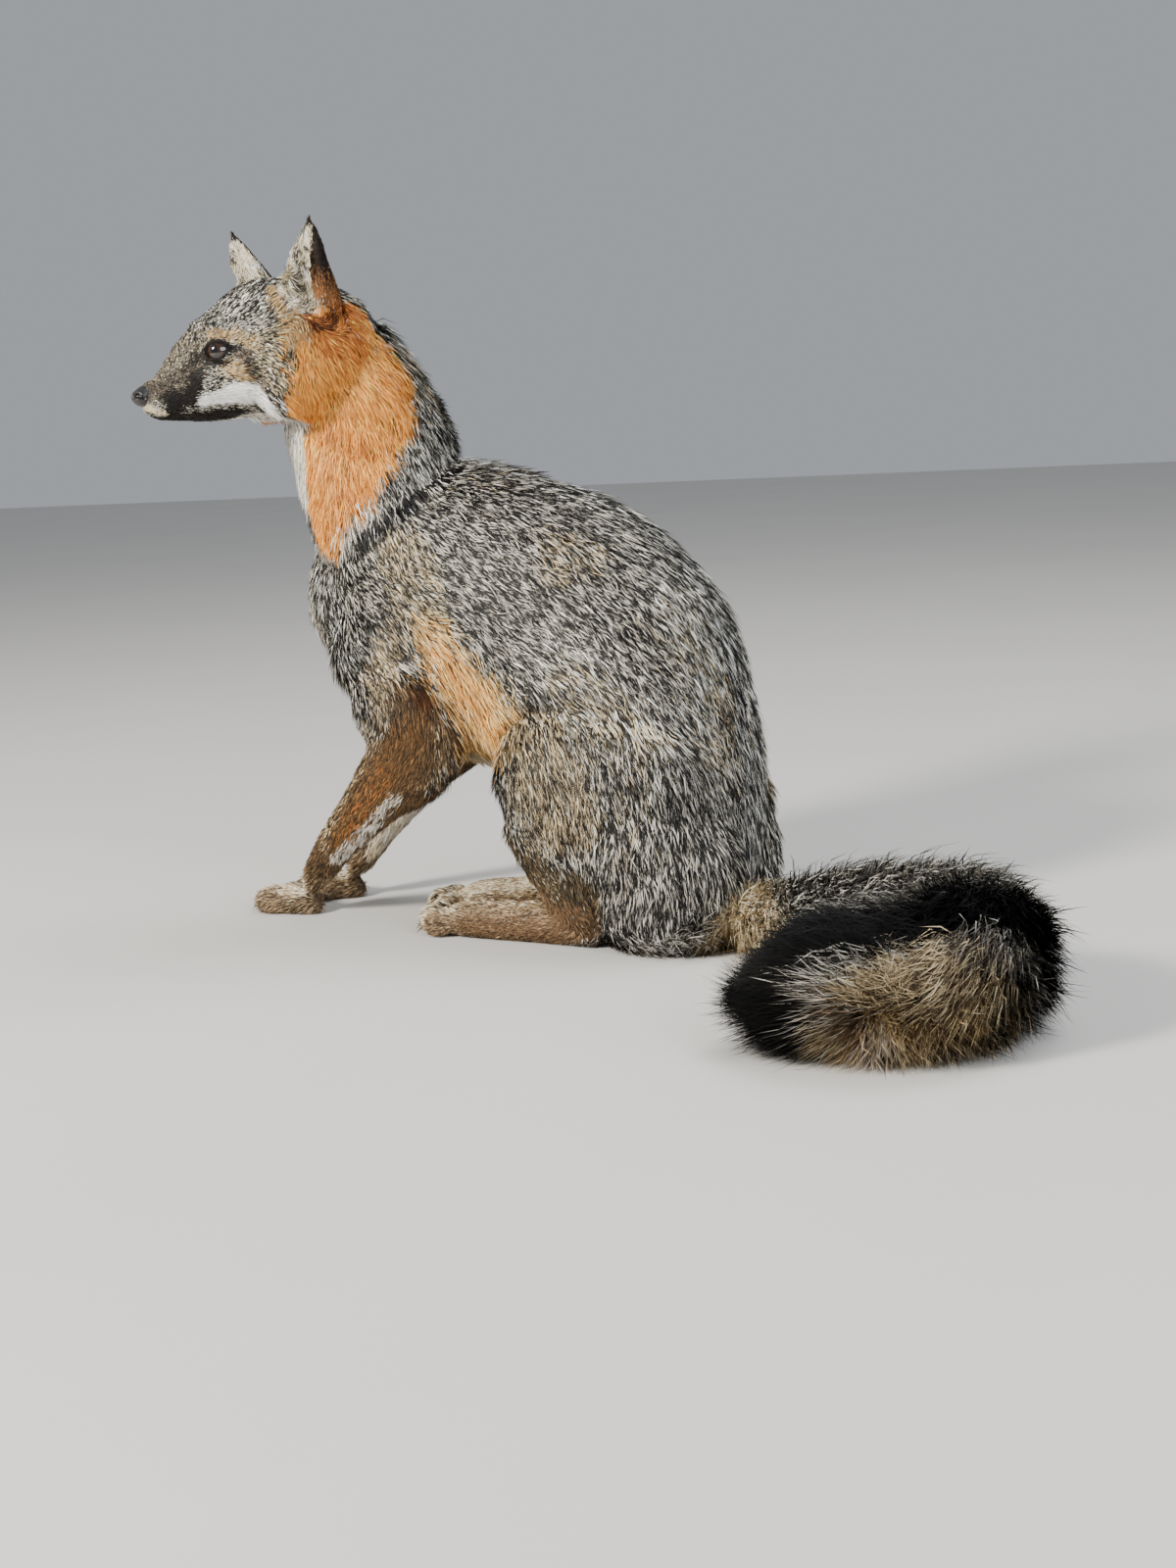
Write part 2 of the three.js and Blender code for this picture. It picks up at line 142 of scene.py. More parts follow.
# "heel" is where the heel's form starts, as a share of the foot, and "toe" half a toe's height.
FOREPAW = {"width": 33, "height": 19, "heel": 0.2, "heel_height": 15, "heel_breadth": 0.6, "toe": 8.4}
HIND_FOOT = {"width": 33, "height": 26, "heel": 0, "heel_height": 30, "heel_breadth": 0.82, "toe": 9.8}
FEET = [
    ([-140, -19], [-204, -3], FOREPAW), ([-134, 38], [-194, 24], FOREPAW),
    ([62, -62], [-66, -44], HIND_FOOT), ([44, 26], [-80, -12], HIND_FOOT),
]
TOE_BACK, OUTER_TOE_BACK = 12, 6               # toes' middles behind the foot's tip, in mm
TOE_SPACING = 0.25                             # from toe to toe, as a share of the foot's width
TAIL = [
    [112, -6, 14, 22, 14, 20], [146, -42, 18, 26, 17, 24], [188, -80, 25, 33, 27, 32],
    [238, -116, 34, 38, 38, 40], [286, -150, 40, 41, 46, 46], [308, -184, 42, 42, 48, 48],
    [296, -218, 42, 40, 47, 48], [266, -232, 39, 40, 44, 46], [228, -230, 33, 35, 36, 38],
    [180, -214, 22, 22, 22, 26],
]
TAIL_SLIM = 0.42                               # share of the tail's width that isn't fur
TAIL_END = [214, -226, 26, 26, 25, 29]         # where its skin stops, short of the fur's end


def curve(points, shares):
    """Points at these shares, 0 to 1, along a centripetal Catmull-Rom curve."""
    points = np.asarray(points, float)
    last = len(points) - 1
    place = np.clip(shares, 0, 1) * last
    at = np.minimum(place.astype(int), last - 1)
    w = (place - at)[:, None]
    padded = np.vstack([2 * points[0] - points[1], points, 2 * points[-1] - points[-2]])
    a, b, c, d = (padded[at + k] for k in range(4))
    ab, bc, cd = (
        np.linalg.norm(q - p, axis=1, keepdims=True) ** 0.5 for p, q in ((a, b), (b, c), (c, d))
    )
    bc = np.where(bc < 1e-4, 1, bc)
    ab = np.where(ab < 1e-4, bc, ab)
    cd = np.where(cd < 1e-4, bc, cd)
    leave = ((b - a) / ab - (c - a) / (ab + bc) + (c - b) / bc) * bc
    arrive = ((c - b) / bc - (d - b) / (bc + cd) + (d - c) / cd) * bc
    square = -3 * b + 3 * c - 2 * leave - arrive
    cube = 2 * b - 2 * c + leave + arrive
    return b + leave * w + square * w ** 2 + cube * w ** 3


def closed_tube(rings, start, end):
    """A closed mesh through rings of points, with a pole at each end."""
    count, around = rings.shape[:2]
    verts = np.vstack([rings.reshape(-1, 3), [start], [end]])
    first, last = count * around, count * around + 1
    faces = []
    for a in range(around):
        b = (a + 1) % around
        faces.append((first, b, a))
        faces.append((last, (count - 1) * around + a, (count - 1) * around + b))
        for r in range(count - 1):
            faces.append((r * around + a, r * around + b, (r + 1) * around + b, (r + 1) * around + a))
    return verts, faces


def sweep(stations, round_end=0.18, sink=0.0, slim=1.0, turn=0, turn_end=None, level=False,
          around=36, rings=36):
    """A form along its stations. "sink" takes the coat's depth off every reach, "slim" scales it."""
    stations = np.asarray(stations, float)
    share = np.linspace(0, 1, rings + 1)
    u = (share + (1 - np.cos(np.pi * share)) / 2) / 2
    axis = curve(stations[:, :3], u)
    reach = curve(stations[:, 3:], u) * slim
    tangent = unit(curve(stations[:, :3], u + 1e-4) - curve(stations[:, :3], u - 1e-4))
    swing = np.radians(turn + ((turn if turn_end is None else turn_end) - turn) * u)
    across = np.stack([-np.sin(swing), np.cos(swing), 0 * swing], 1)
    if level:
        across = np.stack([-tangent[:, 1], tangent[:, 0], 0 * u], 1)
    across = unit(across - (across * tangent).sum(1, keepdims=True) * tangent)
    over = np.cross(tangent, across)
    to_end = np.clip(np.minimum(u, 1 - u) / round_end, 0, 1)
    full = np.sqrt(np.maximum(0, 1 - (1 - to_end) ** 2))[:, None]
    bearing = np.linspace(0, 2 * np.pi, around, endpoint=False)[None]
    wide = np.maximum(reach[:, :1] * full - sink, 0.3 * full)
    high = np.where(np.sin(bearing) > 0, reach[:, 1:2], reach[:, 2:3])
    high = np.maximum(high * full - sink, 0.3 * full)
    centre = axis - tangent * ((2 * u - 1) * sink)[:, None]
    points = (centre[:, None] + across[:, None] * (np.cos(bearing) * wide)[..., None]
              + over[:, None] * (np.sin(bearing) * high)[..., None])
    return closed_tube(points[1:-1], centre[0], centre[-1])


def ball(centre, reach, sink=0.0, side=1, around=28, rings=18):
    """A ball stretched along X, Y and Z. "side" -1 puts it on the left."""
    centre = np.array(centre, float) * [1, side, 1]
    reach = np.array(reach, float) - sink
    polar = np.linspace(0, np.pi, rings + 1)[1:-1, None]
    bearing = np.linspace(0, 2 * np.pi, around, endpoint=False)[None]
    points = np.stack([
        np.sin(polar) * np.cos(bearing), np.sin(polar) * np.sin(bearing),
        np.cos(polar) + 0 * bearing,
    ], 2)
    top, bottom = centre + [0, 0, reach[2]], centre - [0, 0, reach[2]]
    return closed_tube(points * reach + centre, top, bottom)


def on_turned_head(solid):
    verts, faces = solid
    return from_head(verts), faces


def mirrored(stations):
    """Stations of the left side put on the right."""
    return [[x, -y, z, *reach] for x, y, z, *reach in stations]


def foot_frame(heel, toe):
    """A foot's heel on the floor, its length, the way it points and its left."""
    heel = np.array(heel, float)
    length = np.linalg.norm(np.array(toe, float) - heel)
    way = (np.array(toe, float) - heel) / length
    return heel, length, way, np.array([-way[1], way[0]])


def toe_places(heel, toe, width):
    """Middle of each toe on the floor, and the way that the foot points."""
    heel, length, way, left = foot_frame(heel, toe)
    places = []
    for offset in (-1.5, -0.5, 0.5, 1.5):
        forward = length - TOE_BACK - (OUTER_TOE_BACK if abs(offset) > 1 else 0)
        places.append(heel + way * forward + left * offset * width * TOE_SPACING)
    return places, way


def foot_forms(heel, toe, size):
    """The sole's own form and its four toes."""
    places, (cos, sin) = toe_places(heel, toe, size["width"])
    back, length, way, _ = foot_frame(heel, toe)
    height, breadth, rise, start = (size[key] for key in ("height", "heel_breadth", "heel_height", "heel"))
    stations = []
    for share, wide, top in (
        (0.9, 0.72, height * 0.62), (0.7, 0.92, height * 0.92), (0.4 + start * 0.4, 0.82, height),
        (0.1 + start, breadth, rise), (-0.06 + start, breadth * 0.7, rise * 0.9),
    ):
        z = top * 0.42
        x, y = back + way * length * share
        stations.append([x, y, z, wide * size["width"] / 2, top - z, z + 3])
    forms = [sweep(stations, 0.26, sink=1.6, turn=math.degrees(math.atan2(sin, cos)) - 180)]
    verts, faces = ball([-1.5, 0, 0.4], [11, 3.9, size["toe"]], around=18, rings=14)
    spin = np.array([[cos, -sin, 0], [sin, cos, 0], [0, 0, 1]])
    forms += [(verts @ spin.T + [x, y, size["toe"] - 1.2], faces) for x, y in places]
    return forms


# -------- mesh helpers
def placed(name, data):
    """A new object in the scene around a mesh, a lamp or a camera."""
    thing = bpy.data.objects.new(name, data)
    bpy.context.scene.collection.objects.link(thing)
    return thing


def mesh_object(name, verts, faces):
    mesh = bpy.data.meshes.new(name)
    mesh.from_pydata([tuple(v) for v in verts], [], [tuple(f) for f in faces])
    mesh.validate()
    return placed(name, mesh)


def applied(thing):
    """The object's mesh with its modifiers applied, as a new mesh. The object is removed."""
    graph = bpy.context.evaluated_depsgraph_get()
    mesh = bpy.data.meshes.new_from_object(thing.evaluated_get(graph))
    bpy.data.objects.remove(thing)
    return mesh


def read(collection, field, width, kind=np.float32):
    """A mesh's numbers, as many to a row as "width"."""
    values = np.empty(len(collection) * width, kind)
    collection.foreach_get(field, values)
    return values.reshape(-1, width) if width > 1 else values


def vertices(mesh):
    return read(mesh.vertices, "co", 3).astype(float)


def set_vertices(mesh, points):
    mesh.vertices.foreach_set("co", points.astype(np.float32).ravel())


def turned_out(mesh):
    """Turns each face of a closed mesh outward."""
    work = bmesh.new()
    work.from_mesh(mesh)
    bmesh.ops.recalc_face_normals(work, faces=work.faces)
    work.to_mesh(mesh)
    work.free()


def joined(solids):
    """Several solids as one list of vertices and one of faces."""
    verts, faces, base = [], [], 0
    for points, polygons in solids:
        verts.append(points)
        faces += [[i + base for i in face] for face in polygons]
        base += len(points)
    return np.vstack(verts), faces


def cut_out(solid, hollow):
    """A solid less a hollow."""
    body, tool = mesh_object("body", *solid), mesh_object("tool", *hollow)
    for thing in (body, tool):
        turned_out(thing.data)
    cut = body.modifiers.new("cut", "BOOLEAN")
    cut.operation, cut.object, cut.solver = "DIFFERENCE", tool, "EXACT"
    mesh = applied(body)
    bpy.data.objects.remove(tool)
    return vertices(mesh), [list(p.vertices) for p in mesh.polygons]


def lean(points):
    """The right ear's share of its lean, for points laid out as a mirrored left ear."""
    points = np.array(points, float)
    share = (points[:, 2] - EAR_FOOT) / EAR_LENGTH * step(points[:, 2], 360, 372)
    near_ear = step(np.abs(points[:, 1]), 12, 22)
    points[:, 0] -= EAR_LEAN[0] * share * near_ear
    points[:, 1] += EAR_LEAN[1] * share * near_ear
    return points


def ear_solid(right):
    """One ear, already hollowed, on the head's own layout."""
    stations = np.array(EAR, float)
    floor = np.array(EAR_HOLLOW_FLOOR, float)
    turn, open_turn = (15, 15) if right else (35, 14)
    narrow = 1.0 if right else 0.8
    if right:
        for row in (*stations, floor):
            share = (row[2] - EAR_FOOT) / EAR_LENGTH
            row[0] -= EAR_LEAN[0] * share
            row[1] = -row[1] + EAR_LEAN[1] * share
    hollow = []
    for i, (shift, side, over, under) in enumerate(EAR_HOLLOW_STEPS):
        x, y, z = floor if i == 0 else stations[i, :3]
        drop = 3 if i == len(EAR_HOLLOW_STEPS) - 1 else 0
        hollow.append([x - math.cos(math.radians(open_turn)) * shift,
                       y - math.sin(math.radians(open_turn)) * shift, z - drop,
                       side * narrow, over, under * narrow])
    return cut_out(sweep(stations, 0.24, turn=turn, sink=0.2), sweep(hollow, 0.3, turn=open_turn))


# -------- skin
COAT_DEPTH = {"face": 1.5, "neck": 6.5, "trunk": 5.5, "thigh": 5.5, "foreleg": 2.6, "shank": 3}
SKIN_VOXEL, SKIN_LOWEST = 2.7, 0.6             # size of its faces, and its height over the floor


def skin_forms():
    """Every form of flesh, less the coat's depth over it."""
    depth = COAT_DEPTH
    head = [sweep(HEAD, 0.14, sink=depth["face"]), ball([-125.5, 0, 337], [8.5, 8, 7.2])]
    for form, sink in ((CHEEK_RUFF, 3), (BROW, 1), (WHISKER_PAD, 1)):
        head += [ball(*form, sink=sink, side=side) for side in (-1, 1)]
    head += [ear_solid(right) for right in (False, True)]
    forms = [on_turned_head(form) for form in head]
    forms.append(sweep(NECK, 0.2, sink=depth["neck"], turn_end=42))
    forms.append(sweep(TRUNK, 0.18, sink=depth["trunk"], around=48, rings=48))
    forms += [sweep(leg, 0.16, sink=depth["foreleg"]) for leg in (FORELEG_LEFT, FORELEG_RIGHT)]
    forms += [ball(*form, side=side) for form in (SHOULDER_FILL, RUMP_FILL) for side in (-1, 1)]
    for side, thigh, shift in ((-1, THIGH, 0), (1, mirrored(THIGH), RIGHT_THIGH_SHIFT)):
        haunch = ball(*HAUNCH, sink=depth["thigh"], side=side)
        for verts, faces in (sweep(thigh, 0.26, sink=depth["thigh"]), haunch):
            forms.append((verts + [shift, 0, 0], faces))
    forms += [sweep(leg, 0.2, sink=depth["shank"]) for leg in (SHANK_LEFT, SHANK_RIGHT)]
    for heel, toe, size in FEET:
        forms += foot_forms(heel, toe, size)
    forms.append(sweep([*TAIL[:-1], TAIL_END], 0.1, slim=TAIL_SLIM, level=True, around=24, rings=60))
    return forms


def smooth(points, edges, rounds, weight=1.0):
    """Each point moves towards the middle of its neighbours, in proportion to its weight."""
    count = len(points)
    near = np.maximum(np.bincount(edges.ravel(), minlength=count), 1)[:, None]
    for _ in range(rounds):
        total = np.stack([
            np.bincount(edges[:, 0], points[edges[:, 1], k], count)
            + np.bincount(edges[:, 1], points[edges[:, 0], k], count) for k in range(3)
        ], 1)
        points = points + (total / near - points) * (0.5 * np.broadcast_to(weight, (count,)))[:, None]
    return points


def refine(mesh, chosen):
    """Splits each face whose corners are all chosen, and those next to it, into finer ones."""
    work = bmesh.new()
    work.from_mesh(mesh)
    work.verts.ensure_lookup_table()
    edges = [e for e in work.edges if chosen[e.verts[0].index] and chosen[e.verts[1].index]]
    bmesh.ops.subdivide_edges(work, edges=edges, cuts=1, use_grid_fill=True)
    work.to_mesh(mesh)
    work.free()


def vertex_normals(mesh):
    mesh.update()
    return read(mesh.vertex_normals, "vector", 3).astype(float)


def eye_frame(side):
    """Middle of the ball, the way it looks, its outer corner and up, on the head's layout."""
    gaze = unit(np.array([-0.64, 0.765 * side, 0.06]))
    back = unit(np.array([0.75, 0.64 * side, 0.16]))
    back = unit(back - gaze * (back @ gaze))
    up = np.cross(gaze, back) * side
    up = up if up[2] > 0 else -up
    return np.array(EYE_CENTRE) * [1, side, 1], gaze, back, up


LID_ANGLE = 55                                 # half the width of the opening, seen from the ball
UPPER_LID, LOWER_LID = 29, 29                  # its height over and under the corners


def from_opening(local, side):
    """How far points lie outside the opening of the lids, in mm along the ball, negative inside."""
    centre, gaze, back, up = eye_frame(side)
    ray = local - centre
    far = np.linalg.norm(ray, axis=1)
    a = np.degrees(np.arctan2(ray @ back, ray @ gaze))
    b = np.degrees(np.arcsin(np.clip(ray @ up / np.maximum(far, 1e-6), -1, 1)))
    share = np.clip(np.abs(a) / LID_ANGLE, 0, 1)
    upper = UPPER_LID * (1 - share ** 2.2) ** 0.8
    lower = -LOWER_LID * (1 - share ** 1.7)
    beyond = np.maximum(np.abs(a) - LID_ANGLE, 0)
    outside = np.maximum(b - upper, lower - b)
    outside = np.where(beyond > 0, np.hypot(beyond, np.abs(b)), outside)
    return np.radians(outside) * EYE_RADIUS, far, ray @ gaze


MOUTH_LINE = [
    [-131, 0, 326.5], [-128.5, -4.5, 324.5], [-122, -9.5, 321.5], [-112, -12.5, 319.5],
    [-101, -14.5, 320], [-91, -18, 323.5], [-81, -21, 325.8], [-72, -24.5, 325], [-63, -28, 322.5],
]


def line_distance(points, line):
    """Distance from points to a broken line of [x, y, z] or [x, y, z, radius] corners."""
    line = np.asarray(line, float)
    best = np.full(len(points), 1e9)
    if line.shape[1] == 3:
        line = np.hstack([line, np.zeros((len(line), 1))])
    for a, b in zip(line, line[1:]):
        along = b[:3] - a[:3]
        t = np.clip((points - a[:3]) @ along / max(along @ along, 1e-9), 0, 1)
        gap = np.linalg.norm(points - a[:3] - t[:, None] * along, axis=1)
        best = np.minimum(best, gap - (a[3] + (b[3] - a[3]) * t))
    return best


def both_sides(line):
    """A line on the left side, and the same line mirrored to the right."""
    right = np.array(line, float)
    right[:, 1] *= -1
    return [np.asarray(line, float), right]


# Pushes on the finished face: where, how wide, and how far out along the skin.
FACE_PUSHES = [
    ([-101, -13, 352], 10, -1.6),              # hollow beside the bridge, in front of the eye
    ([-76, -31, 347], 10, 1.2),                # cheekbone
    ([-118, -12, 330], 9, 0.8),                # whisker pad
    ([-66, -27, 376], 12, -1.5),               # temple, over the cheekbone
    ([-95, 0, 372], 10, -0.8),                 # stop
    ([-100, -14, 314], 9, -0.8),               # under the lip, where the jaw narrows
]


def sculpt_face(points, normals):
    """Sockets, lids, lips and the small hollows of the face."""
    local = on_head(points)
    turned = normals @ TURN
    face = (local[:, 0] < 0) & (local[:, 2] > 300)
    for spot, wide, push in FACE_PUSHES:
        for side in (-1, 1):
            if spot[1] == 0 and side == 1:
                continue
            middle = np.array(spot, float) * [1, -side, 1]
            near = np.exp(-((local - middle) ** 2).sum(1) / (wide / 1.6) ** 2) * face
            local += turned * (near * push)[:, None]
    for line in both_sides(MOUTH_LINE):
        gap = line_distance(local, line)
        upper = np.exp(-((gap - 2.6) / 1.4) ** 2) * (turned[:, 2] > -0.6)
        local += turned * ((upper * 0.5 - np.exp(-(gap / 1.1) ** 2) * 1.5) * face)[:, None]
    for side in (-1, 1):
        centre, gaze, _, up = eye_frame(side)
        outside, far, front = from_opening(local, side)
        near = (far < 24) & (front > -1.5)
        rim = EYE_RADIUS + 0.9
        blend = step(outside, 0.4, 6.5)
        target = rim + (np.maximum(far, rim) - rim) * blend
        fold = np.exp(-((outside - 3.6) / 1.0) ** 2) * (((local - centre) @ up) > 2) * 0.7
        target = np.where(outside < 0, EYE_RADIUS - 2.2, target - fold)
        target = np.where((outside >= 0) & (outside < 0.35), EYE_RADIUS - 0.2, target)
        ray = unit(local - centre)
        local = np.where(near[:, None], centre + ray * target[:, None], local)
    return np.where(face[:, None], from_head(local), points)


# The fold of skin from the withers to the point of the shoulder, and the fold over the thigh.
SHOULDER_FOLD = [[-40, -30, 274], [-52, -44, 266], [-66, -52, 256], [-84, -55, 243], [-104, -49, 232]]
THIGH_FOLD = [[-4, -64, 112], [3, -66, 132], [22, -70, 148], [46, -72, 150], [66, -73, 142]]


# The crease under the jaw, where the ruff hangs over the neck: "h" points on the head, "b" below it.
RUFF_FOLD = [["h", -48, -24, 310, 0], ["h", -35, -35, 304, 0], ["b", -95, -52, 298, 0],
             ["b", -80, -50, 293, 0]]


def press_folds(points, normals):
    """Presses in each fold, with a low swell on its sides, and the gaps between the toes."""
    for side_lines, deep, wide in ((both_sides(SHOULDER_FOLD), 4.0, 3.0),
                                   (both_sides(THIGH_FOLD), 3.0, 4.5),
                                   (expanded("neck", RUFF_FOLD), 2.6, 6.5)):
        for side_line in side_lines:
            gap = line_distance(points, side_line)
            points = points - normals * (np.exp(-(gap / wide) ** 2) * deep)[:, None]
            swell = np.exp(-((gap - wide * 2.3) / wide) ** 2) * deep * 0.35
            points = points + normals * swell[:, None]
    for line in toe_gaps():
        gap = line_distance(points, line[:, :3])
        points = points - normals * (np.exp(-(gap / 2.0) ** 2) * 2.4)[:, None]
    return points


def make_skin():
    """One closed skin over all the forms, smoothed, with finer faces on the head and toes."""
    body = mesh_object("skin_forms", *joined(skin_forms()))
    remesh = body.modifiers.new("remesh", "REMESH")
    remesh.mode, remesh.voxel_size = "VOXEL", SKIN_VOXEL
    mesh = applied(body)
    points, edges = vertices(mesh), read(mesh.edges, "vertices", 2, np.int32)
    local = on_head(points)
    head = step(local[:, 2], 296, 318) * step(-local[:, 0], -24, -6)
    ear = step(local[:, 2], 372, 384) * step(np.abs(local[:, 1]), 12, 18) * head
    feet = step(-points[:, 2], -26, -18) * step(-points[:, 0], -80, -60)
    points = smooth(points, edges, 14, 1 - np.maximum(head * 0.75, feet * 0.93))
    points = smooth(points, edges, 4, head * (1 - ear) * 0.8)
    set_vertices(mesh, points)
    refine(mesh, head > 0.5)
    points = vertices(mesh)
    refine(mesh, np.min([line_distance(points, gap) for gap in toe_gaps()], axis=0) < 5)
    points = vertices(mesh)
    local = on_head(points)
    lids = np.zeros(len(points), bool)
    for side in (-1, 1):
        outside, far, front = from_opening(local, side)
        lids |= (outside < 3.5) & (far < 18) & (front > 0)
    refine(mesh, lids)
    points = smooth(vertices(mesh), read(mesh.edges, "vertices", 2, np.int32), 3)
    set_vertices(mesh, points)
    normals = vertex_normals(mesh)
    points = sculpt_face(press_folds(points, normals), normals)
    points[:, 2] = np.maximum(points[:, 2], SKIN_LOWEST)
    set_vertices(mesh, points)
    mesh.update()
    return mesh


# -------- coats
def linear(code):
    """An sRGB hex colour as linear numbers."""
    channels = np.array([int(code[i:i + 2], 16) for i in (1, 3, 5)]) / 255
    return np.where(channels <= 0.04045, channels / 12.92, ((channels + 0.055) / 1.055) ** 2.4)


# Each coat's hairs: colour at the root, in the band and at the tip, where the band and the tip
# begin, the share of hairs that are dark all the way, and how much one hair differs from the next.
COATS = {
    "face_grizzle": ("#37322a", "#dcd6c6", "#161310", 0.34, 0.72, 0.41, 0.26),
    "temple": ("#41372a", "#bdae8e", "#2c251b", 0.34, 0.80, 0.30, 0.26),
    "grizzled": ("#2a2620", "#d6d0c2", "#12100e", 0.50, 0.78, 0.42, 0.25),
    "dark_grizzle": ("#27241f", "#e2dfd6", "#0e0d0c", 0.45, 0.80, 0.43, 0.24),
    "pale_grizzle": ("#6a6356", "#f0ecdf", "#474137", 0.34, 0.83, 0.20, 0.20),
    "saddle": ("#1f1c18", "#b8b2a7", "#0c0b0a", 0.48, 0.80, 0.50, 0.26),
    "tan_grizzle": ("#4d3f2c", "#d0bb94", "#2a2217", 0.44, 0.80, 0.24, 0.24),
    "buff_face": ("#755b38", "#c6a676", "#8b6d45", 0.28, 0.82, 0.10, 0.22),
    "brown_grizzle": ("#2f2922", "#a79a84", "#1c1814", 0.34, 0.76, 0.34, 0.26),
    "rust": ("#69330f", "#bd7030", "#a45a22", 0.28, 0.80, 0.03, 0.24),
    "orange": ("#84420f", "#ec9f48", "#df8c33", 0.26, 0.86, 0.01, 0.31),
    "orange_low": ("#7a4118", "#dd9342", "#cf8337", 0.28, 0.86, 0.04, 0.34),
    "orange_pale": ("#96682f", "#ecbe78", "#e0a962", 0.28, 0.86, 0.01, 0.22),
    # rust darkened as painted shade, in the creases at the elbow and at the foot of the ear
    "rust_painted_shade": ("#341b0b", "#643615", "#432410", 0.30, 0.70, 0.18, 0.24),
    "leg_rust": ("#33210e", "#7d572e", "#4c3418", 0.30, 0.78, 0.18, 0.30),
    "leg_brown": ("#2b2012", "#745838", "#372817", 0.30, 0.78, 0.28, 0.28),
    "shank_brown": ("#292015", "#716042", "#33281b", 0.32, 0.77, 0.28, 0.28),
    "heel_rust": ("#36261a", "#7a5e42", "#543e29", 0.28, 0.78, 0.14, 0.26),
    "white": ("#e6e1d3", "#fffdf6", "#fffdf6", 0.20, 0.90, 0.01, 0.06),
    "throat": ("#9a9589", "#e6e1d6", "#d3cdc1", 0.20, 0.80, 0.05, 0.14),
    "cream": ("#a39276", "#ead9bb", "#efe0c4", 0.20, 0.88, 0.02, 0.14),
    "foot_pale": ("#6a563e", "#f0dfc0", "#947b59", 0.26, 0.92, 0.14, 0.24),
    "foot_buff": ("#382b20", "#9f8767", "#4d3b2b", 0.30, 0.84, 0.26, 0.28),
    "foot_dark": ("#1c150d", "#40321f", "#20180f", 0.25, 0.78, 0.20, 0.24),
    "black": ("#060606", "#0b0a0a", "#050505", 0.30, 0.70, 0.30, 0.30),
    "muzzle_black": ("#14100d", "#29231d", "#110e0c", 0.30, 0.70, 0.30, 0.30),
    "muzzle_dark": ("#241f1a", "#75695a", "#1c1814", 0.34, 0.76, 0.40, 0.30),
    "ear_white": ("#9a9282", "#f2eddf", "#f6f2e7", 0.22, 0.85, 0.10, 0.16),
    "ear_cream": ("#8f8168", "#e6dabb", "#e2d8bf", 0.22, 0.85, 0.10, 0.18),
    "ear_shade": ("#2f2a24", "#655d51", "#4c443a", 0.30, 0.80, 0.15, 0.25),
    "ear_rust": ("#56361c", "#94643a", "#70482a", 0.25, 0.75, 0.14, 0.24),
    "ear_black": ("#1b130c", "#2d2117", "#181009", 0.30, 0.70, 0.20, 0.25),
    "tail_root": ("#7d6d57", "#e0d0b2", "#8d7856", 0.26, 0.86, 0.16, 0.26),
    "tail_grizzle": ("#38352f", "#c6c2b8", "#1b1917", 0.40, 0.80, 0.38, 0.25),
    "tail_tan": ("#75644c", "#d8c29c", "#47392b", 0.25, 0.92, 0.22, 0.28),
    "tail_whorl": ("#8f8578", "#c3b9ab", "#a59a8d", 0.20, 0.90, 0.05, 0.20),
    "tail_silver": ("#3f3a34", "#8d8478", "#3f3932", 0.30, 0.92, 0.22, 0.24),
}
COAT_NAMES = list(COATS)
ROOT_COLOUR, BAND_COLOUR, TIP_COLOUR = (
    np.array([linear(COATS[name][k]) for name in COAT_NAMES]) for k in range(3)
)
BAND_FROM, TIP_FROM, DARK_SHARE, VARIETY = (
    np.array([COATS[name][k] for name in COAT_NAMES]) for k in range(3, 7)
)

